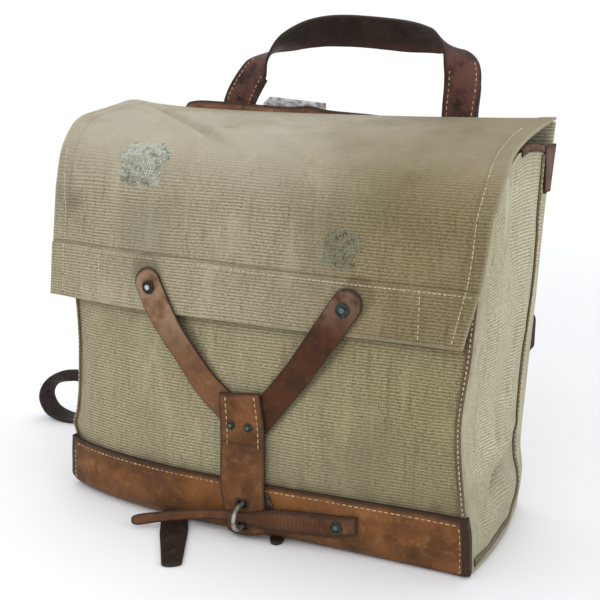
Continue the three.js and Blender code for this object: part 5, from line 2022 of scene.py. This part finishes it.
@dataclass
class Handle:
    """The carrying handle with a second layer of leather behind each end, and its rivet."""

    width: float = 27
    span: float = 190
    rise: float = 61
    centre: float = 10
    lean: float = 15
    # along the span, back by the lean and up by the rise, then the direction out of its stitched side
    table: Array = chart(
        (-0.505, 0.02, -0.54, 0, -1, 0), (-0.5, 0.02, -0.2, 0, -1, 0), (-0.482, 0.06, 0.1, -0.05, -1, 0),
        (-0.408, 0.24, 0.5, -0.3, -0.9, 0.1), (-0.358, 0.44, 0.68, -0.7, -0.45, 0.5),
        (-0.268, 0.7, 0.86, -0.5, 0.35, 0.8), (-0.158, 0.9, 0.97, -0.15, 0.72, 0.68),
        (-0.03, 1, 1, 0, 0.85, 0.52), (0.22, 0.92, 0.94, 0.05, 0.85, 0.52),
        (0.38, 0.7, 0.87, 0.25, 0.6, 0.75), (0.46, 0.5, 0.76, 0.75, -0.2, 0.6),
        (0.498, 0.3, 0.57, 0.55, -0.8, 0.25), (0.508, 0.12, 0.36, 0.2, -0.98, 0.05),
        (0.503, 0.04, 0.1, 0, -1, 0), (0.5, 0.02, -0.2, 0, -1, 0), (0.5, 0.02, -0.54, 0, -1, 0),
    )

    def strap(self, start: float = 0.0, end: float = 1.0, behind: float = 0.0, cup: float = 0.5) -> FreeStrap:
        """A stretch of the handle's line as a strap.

        Args:
            start: Where it starts.
            end: Where it ends.
            behind: How far it lies behind.
            cup: How far its borders bend back.

        Returns:
            The strap.
        """
        back = BAG.yoke_back + BAG.gap + BAG.leather / 2
        along, lean, rise = self.table[:, :3].T
        points = np.column_stack(
            [self.centre + self.span * along, back + self.lean * lean, BAG.height + self.rise * rise]
        )
        return FreeStrap(points, self.table[:, 3:], self.width, BAG.leather, start, end, behind, cup)

    def build(self) -> None:
        """Builds the handle, its second layers, its stitches and its rivet."""
        grip = self.strap()
        piece = Piece("handle_strap", HANDLE_LEATHER, "handle_leather", ("handle",), 0.7)
        grip.build(piece, 330, crowded(18, 0.04, 5), BAG.leather)
        reach = 3 / (len(self.table) - 1)
        for name, start, end in (("left", 0.0, reach), ("right", 1 - reach, 1.0)):
            layer = self.strap(start, end, BAG.leather + BAG.gap)
            piece = Piece(
                f"handle_layer_{name}", HANDLE_LEATHER, "handle_leather", (f"handle_end_{name}",), 0.7
            )
            layer.build(piece, 70, crowded(18, 0.04, 5), BAG.leather)
        rows = [(grip, line((0.02, v), (end, v))) for v, end in ((0.14, 0.225), (0.86, 0.205))]
        rows += [(grip, line((start, v), (0.98, v))) for v, start in ((0.14, 0.725), (0.86, 0.74))]
        Thread(0.34, 2.8, 4.0).rows(Piece("handle_stitches", PALE_THREAD, "handle_leather"), rows, 12)
        foot = spline(grip.points, np.array([2.15 / (len(self.table) - 1)]))[0]
        seat = foot - [0, BAG.leather / 2 + 2 * BAG.gap, 0]
        piece = Piece("handle_rivet_head", DARK_RIVET, "rivet_metal", ("handle_rivet",))
        revolve(piece, RIVET * [3.2, 1.2], seat)


@dataclass
class YokeSkin(Skin):
    """The leather yoke on the back, whose wavy top edge shows over the flap."""

    drop: float = 55
    outward = (0.0, 1.0, 0.0)
    # x as a share of half the body's width, top of the height
    table: Array = chart(
        (-0.81, 0.987), (-0.77, 1.015), (-0.6, 1.019), (-0.34, 1.012), (-0.2, 1.009), (-0.1, 1.013),
        (0, 1.004), (0.23, 0.996), (0.45, 0.985), (0.76, 0.98),
    )

    def place(self, u: Array, v: Array) -> Array:
        """The outer face: x along the table, z from the bottom up to the table's top.

        Args:
            u, v: Its shares.

        Returns:
            The points.
        """
        share = self.table[0, 0] + (self.table[-1, 0] - self.table[0, 0]) * u
        top = BAG.height * follow(self.table, share, 1)
        bottom = BAG.height - self.drop
        y = np.full(np.shape(u), BAG.yoke_back) + 0 * v
        return xyz(BAG.half_width * share, y, bottom + (top - bottom) * v)


@dataclass
class HookSkin(Skin):
    """The flat metal belt hook behind the yoke, with its slanted left corner and its turned right end."""

    left: float = -57.75
    right: float = -3.3
    top: float = 305.3
    drop: float = 47.2
    straight: float = 50.5
    bend: float = 4.0
    thickness: float = 1.3
    outward = (0.0, 1.0, 0.0)

    def place(self, u: Array, v: Array) -> Array:
        """The outer face: flat, and bent back on a quarter circle over its last millimetres on the right.

        Args:
            u, v: Its shares.

        Returns:
            The points.
        """
        flat = (self.right - self.left) * u
        top = self.top - np.interp(flat, [0, 6, 54.45], [5, 0, 4])
        angle = np.clip(flat - self.straight, 0, self.bend) / self.bend
        x = self.left + np.minimum(flat, self.straight) + self.bend * np.sin(angle)
        y = BAG.yoke_back + BAG.gap + self.thickness + self.bend * (1 - np.cos(angle))
        return xyz(x, y, self.top - self.drop + (top - self.top + self.drop) * v)


@dataclass
class PatchSkin(Skin):
    """The leather patch round the back corner on the right, under the flap."""

    low: float = 0.828
    high: float = 0.942
    outward = (1.0, 1.0, 0.0)

    def place(self, u: Array, v: Array) -> Array:
        """The outer face: back along the gusset, then across the back.

        Args:
            u, v: Its shares.

        Returns:
            The points.
        """
        z = BAG.height * (self.low + (self.high - self.low) * v)
        off = BAG.gap + 1.5
        first = np.clip(2 * u, 0, 1)
        wide = 13 + 9 * v
        y = BAG.half_depth - wide + (wide + off) * first
        x = BAG.gusset_x(Side.RIGHT, y, z) + off
        edge = BAG.gusset_x(Side.RIGHT, np.full(np.shape(z), BAG.half_depth), z) + off
        return xyz(np.where(u <= 0.5, x, edge - 30 * (2 * u - 1)), y, z)


@dataclass
class LoopSkin(Skin):
    """The folded leather loop sewn to the back near the right seam."""

    width: float = 27
    thickness: float = 1.8
    opening: float = 8
    out: float = 4.5

    def __post_init__(self) -> None:
        """Works out its path in x and y: flat, round the fold, and back."""
        inner = BAG.half_depth + BAG.gap + self.thickness / 2
        outer = inner + self.thickness + self.opening
        fold = (outer - inner) / 2
        turn = BAG.half_width - fold + self.out
        start = turn - 46
        flat = [(start, inner), (turn - 30, inner), (turn - 15, inner), (turn, inner)]
        angles = math.pi * (np.arange(1, 6) / 6 - 0.5)
        bend = np.column_stack([turn + fold * np.cos(angles), inner + fold + fold * np.sin(angles)])
        close = inner + self.thickness + BAG.gap
        back = [(turn, outer), (turn - 15, outer - 0.5), (turn - 32, close + 1.2), (start, close)]
        self.path = np.vstack([flat, bend, back])

    def place(self, u: Array, v: Array) -> Array:
        """The outer face: the path moved out by half the thickness, and up across the width.

        Args:
            u, v: Its shares.

        Returns:
            The points.
        """
        u = np.asarray(u, float)
        middle = spline(self.path, u)
        slope = heading(self.path, u)
        x = middle[..., 0] + slope[..., 1] * self.thickness / 2
        y = middle[..., 1] - slope[..., 0] * self.thickness / 2
        wide = self.width * (1 - 0.38 * bell(u, 0.5, 0.09))
        return xyz(x, y, 0.463 * BAG.height + (v - 0.5) * wide + 0 * x)

    def normal(self, u: Array, v: Array) -> Array:
        """The unit normals, square to the path.

        Args:
            u, v: Its shares.

        Returns:
            The normals.
        """
        u = np.asarray(u, float)
        slope = heading(self.path, u)
        return xyz(slope[..., 1], -slope[..., 0], 0 * slope[..., 0])


@dataclass
class FloorSkin(Skin):
    """A strap end lying flat on the floor, from under the base's round edge to its tip."""

    root_x: float
    reach: Pair
    start_width: float
    end_width: float
    tip: float
    outward = (0.0, 0.0, 1.0)

    def place(self, u: Array, v: Array) -> Array:
        """The outer face: along the reach, narrowing, with its root edge along the base.

        Args:
            u, v: Its shares.

        Returns:
            The points.
        """
        under = BAG.round / 3
        root_y = float(BAG.strip_y(np.array(self.root_x), np.array(0.0))) + under
        along = np.array(self.reach)
        far = float(np.hypot(*along))
        across = np.array([-along[1], along[0]]) / far
        root = np.array([math.copysign(1, across[0]), 0.0])
        side = 2 * v - 1
        share = u * (1 - self.tip * (1 - np.sqrt(1 - 0.9 * side * side)) / far)
        wide = self.start_width + (self.end_width - self.start_width) * share
        turn = ease(share, 0, 0.4)[..., None]
        point = np.array([self.root_x, root_y]) + along * share[..., None]
        point = point + (root + (across - root) * turn) * (side * wide / 2)[..., None]
        start_y = BAG.strip_y(np.array(self.root_x), np.array(0.0))
        edge = (BAG.strip_y(point[..., 0], 0 * share) - start_y) * (1 - share)
        rise = 0.25 * (1 - side**4)
        return xyz(point[..., 0], point[..., 1] + edge, BAG.leather + rise)


@dataclass
class BackFittings:
    """What is sewn to the back and lies round the bag's foot: yoke, hook, patch, straps and loop."""

    strap_width: float = 20
    reach: float = 122
    rise: float = 48
    hole: float = 1.5
    # out beyond the left side, depth of the body's depth and up by the rise, then the direction out
    strap_table: Array = chart(
        (-0.38, 0.5, 1.5, 0, 1, 0), (-0.15, 0.5, 1.46, 0, 1, 0), (0.08, 0.51, 1.4, 0, 1, 0),
        (0.3, 0.5, 1.15, 0, 0.95, 0.3), (0.58, 0.44, 0.92, -0.05, 0.85, 0.55),
        (0.78, 0.38, 0.9, -0.4, 0.6, 0.7), (0.93, 0.35, 0.72, -0.85, 0.15, 0.45),
        (0.985, 0.345, 0.44, -1, 0, 0), (0.94, 0.35, 0.17, -0.8, 0, -0.6),
        (0.82, 0.36, 0.02, -0.2, 0, -0.98), (0.6, 0.39, 0.008, 0, 0, -1), (0.3, 0.45, 0.008, 0, 0, -1),
        (0.1, 0.49, 0.008, 0, 0, -1),
    )

    def build(self) -> None:
        """Builds and dresses every piece on the back and the floor."""
        yoke = YokeSkin()
        piece = Piece("yoke_leather", YOKE_LEATHER, "brown_leather", ("back_yoke",), 0.7)
        yoke.build(piece, 160, 30, BAG.leather)
        rows = [(yoke, line((0.015, v), (0.985, v))) for v in (0.08, 0.9)]
        Thread(0.42, 3.2, 4.6).rows(Piece("yoke_stitches", PALE_THREAD, "brown_leather"), rows, 14)
        hook, loop = HookSkin(), LoopSkin()
        hook.build(Piece("hook_metal", ZINC, "steel", ("belt_hook",), 0.3), 60, 20, hook.thickness)
        corner = Piece("corner_leather", DARK_TRIM, "brown_leather", ("corner_patch",), 0.6)
        PatchSkin().build(corner, 41, 16, 1.4)
        fold = Piece("loop_leather", DARK_LEATHER, "dark_leather", ("rear_loop",), 0.5)
        loop.build(fold, 110, 12, loop.thickness)
        self.rear_strap()
        root_x = -0.35 * BAG.half_width
        tongue = Piece("floor_tongue_leather", DARK_LEATHER, "dark_leather", ("floor_tongue",), 0.6)
        FloorSkin(root_x, (-19 - root_x, -62.0), 24, 14, 4).build(tongue, 50, 15, BAG.leather)
        stub = Piece("stub_leather", DARK_LEATHER, "dark_leather", ("strap_stub",), 0.5)
        FloorSkin(0.165 * BAG.half_width, (3.0, -8.0), 11, 8, 4).build(stub, 16, 9, BAG.leather)

    def rear_strap(self) -> None:
        """Builds the rear strap with its two holes."""
        first = BAG.half_depth + BAG.gap + BAG.leather / 2
        out, depth, rise = self.strap_table[:, :3].T
        y = np.minimum(BAG.depth * depth + (depth >= 0.5) * (first - BAG.half_depth), first + 2)
        lift = (self.strap_table[:, 5] < -0.9) * BAG.leather / 2
        points = np.column_stack([-BAG.half_width - self.reach * out, y, self.rise * rise + lift])
        strap = FreeStrap(points, self.strap_table[:, 3:], self.strap_width, BAG.leather, cup=0.3)
        piece = Piece("rear_strap_leather", DARK_LEATHER, "dark_leather", ("rear_strap",), 0.6)
        holes = [Hole(share, 0.5, (self.hole, self.hole)) for share in (5.5 / 12, 6.7 / 12)]
        strap.build(piece, 480, 29, BAG.leather, holes)


@dataclass
class Studio:
    """The floor, the lights and the camera."""

    eye: Triple = (0.3286, -0.6338, 0.3429)
    right: Triple = (0.8926, 0.4509, 0.0)
    forward: Triple = (-0.4365, 0.8640, -0.2504)
    lens: float = 58.44
    sensor: float = 36.0

    def build(self) -> None:
        """Builds the studio."""
        self.floor()
        self.camera()
        self.light("key", (0.1, -1.5, 1.6), 1.1, 8, (1.0, 0.985, 0.96))
        self.light("side", (1.7, -0.2, 0.9), 1.0, 5, (1.0, 1.0, 1.0))
        self.light("top", (0.1, 0.3, 1.8), 1.2, 5, (1.0, 1.0, 1.0))
        world = bpy.data.worlds.new("room")
        bpy.context.scene.world = world
        world.use_nodes = True
        world.node_tree.nodes["Background"].inputs[0].default_value = (0.97, 0.98, 1.0, 1)
        world.node_tree.nodes["Background"].inputs[1].default_value = 1.06
        bpy.context.scene.view_settings.view_transform = "Standard"
        LOG.info("made the studio")

    @staticmethod
    def floor() -> None:
        """Builds the floor: a wide plane that curves up far away, by a smooth step of the way out."""
        count = 61
        x, y = np.meshgrid(np.linspace(-9, 9, count), np.linspace(-9, 9, count), indexing="ij")
        z = 4 * ease(np.hypot(x, y), 3.5, 9) - 0.0002
        points = xyz(x, y, z).reshape(-1, 3)
        mesh = bpy.data.meshes.new("floor")
        mesh.from_pydata(points.tolist(), [], grid_faces(count, count).tolist())
        mesh.materials.append(material_of(FloorFinish()))
        shown(bpy.data.objects.new("floor", mesh))

    def camera(self) -> None:
        """Sets the camera at the photograph's place and angle."""
        ahead, right = unit(np.array(self.forward)), unit(np.array(self.right))
        up = np.cross(right, ahead)
        lens = bpy.data.cameras.new("camera")
        lens.lens, lens.sensor_width = self.lens, self.sensor
        lens.clip_start, lens.clip_end = 0.01, 50
        camera = shown(bpy.data.objects.new("camera", lens))
        turn = np.eye(4)
        turn[:3, 0], turn[:3, 1], turn[:3, 2], turn[:3, 3] = right, up, -ahead, self.eye
        camera.matrix_world = mathutils.Matrix(turn.tolist())
        bpy.context.scene.camera = camera

    @staticmethod
    def light(
        name: str, place: tuple[float, ...], size: float, power: float, colour: tuple[float, ...]
    ) -> None:
        """Adds a soft area light that points at the bag.

        Args:
            name: Its name.
            place: Where it hangs.
            size: Its diameter.
            power: Its watts.
            colour: Its colour.
        """
        lamp = bpy.data.lights.new(name, "AREA")
        lamp.shape, lamp.size, lamp.energy, lamp.color = "DISK", size, power, colour
        made = shown(bpy.data.objects.new(name, lamp))
        made.location = place
        aim = mathutils.Vector((0, 0, 0.15)) - mathutils.Vector(place)
        made.rotation_euler = aim.to_track_quat("-Z", "Y").to_euler()


def main() -> None:
    """Builds the studio and the bag."""
    logging.basicConfig(level=logging.INFO, format="%(name)s: %(message)s")
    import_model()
    for part in (Studio(), CanvasBody(), Flap(), LeatherBase(), Closure(), Handle(), BackFittings()):
        LOG.info("building %s", type(part).__name__)
        part.build()


if __name__ == "__main__":
    main()
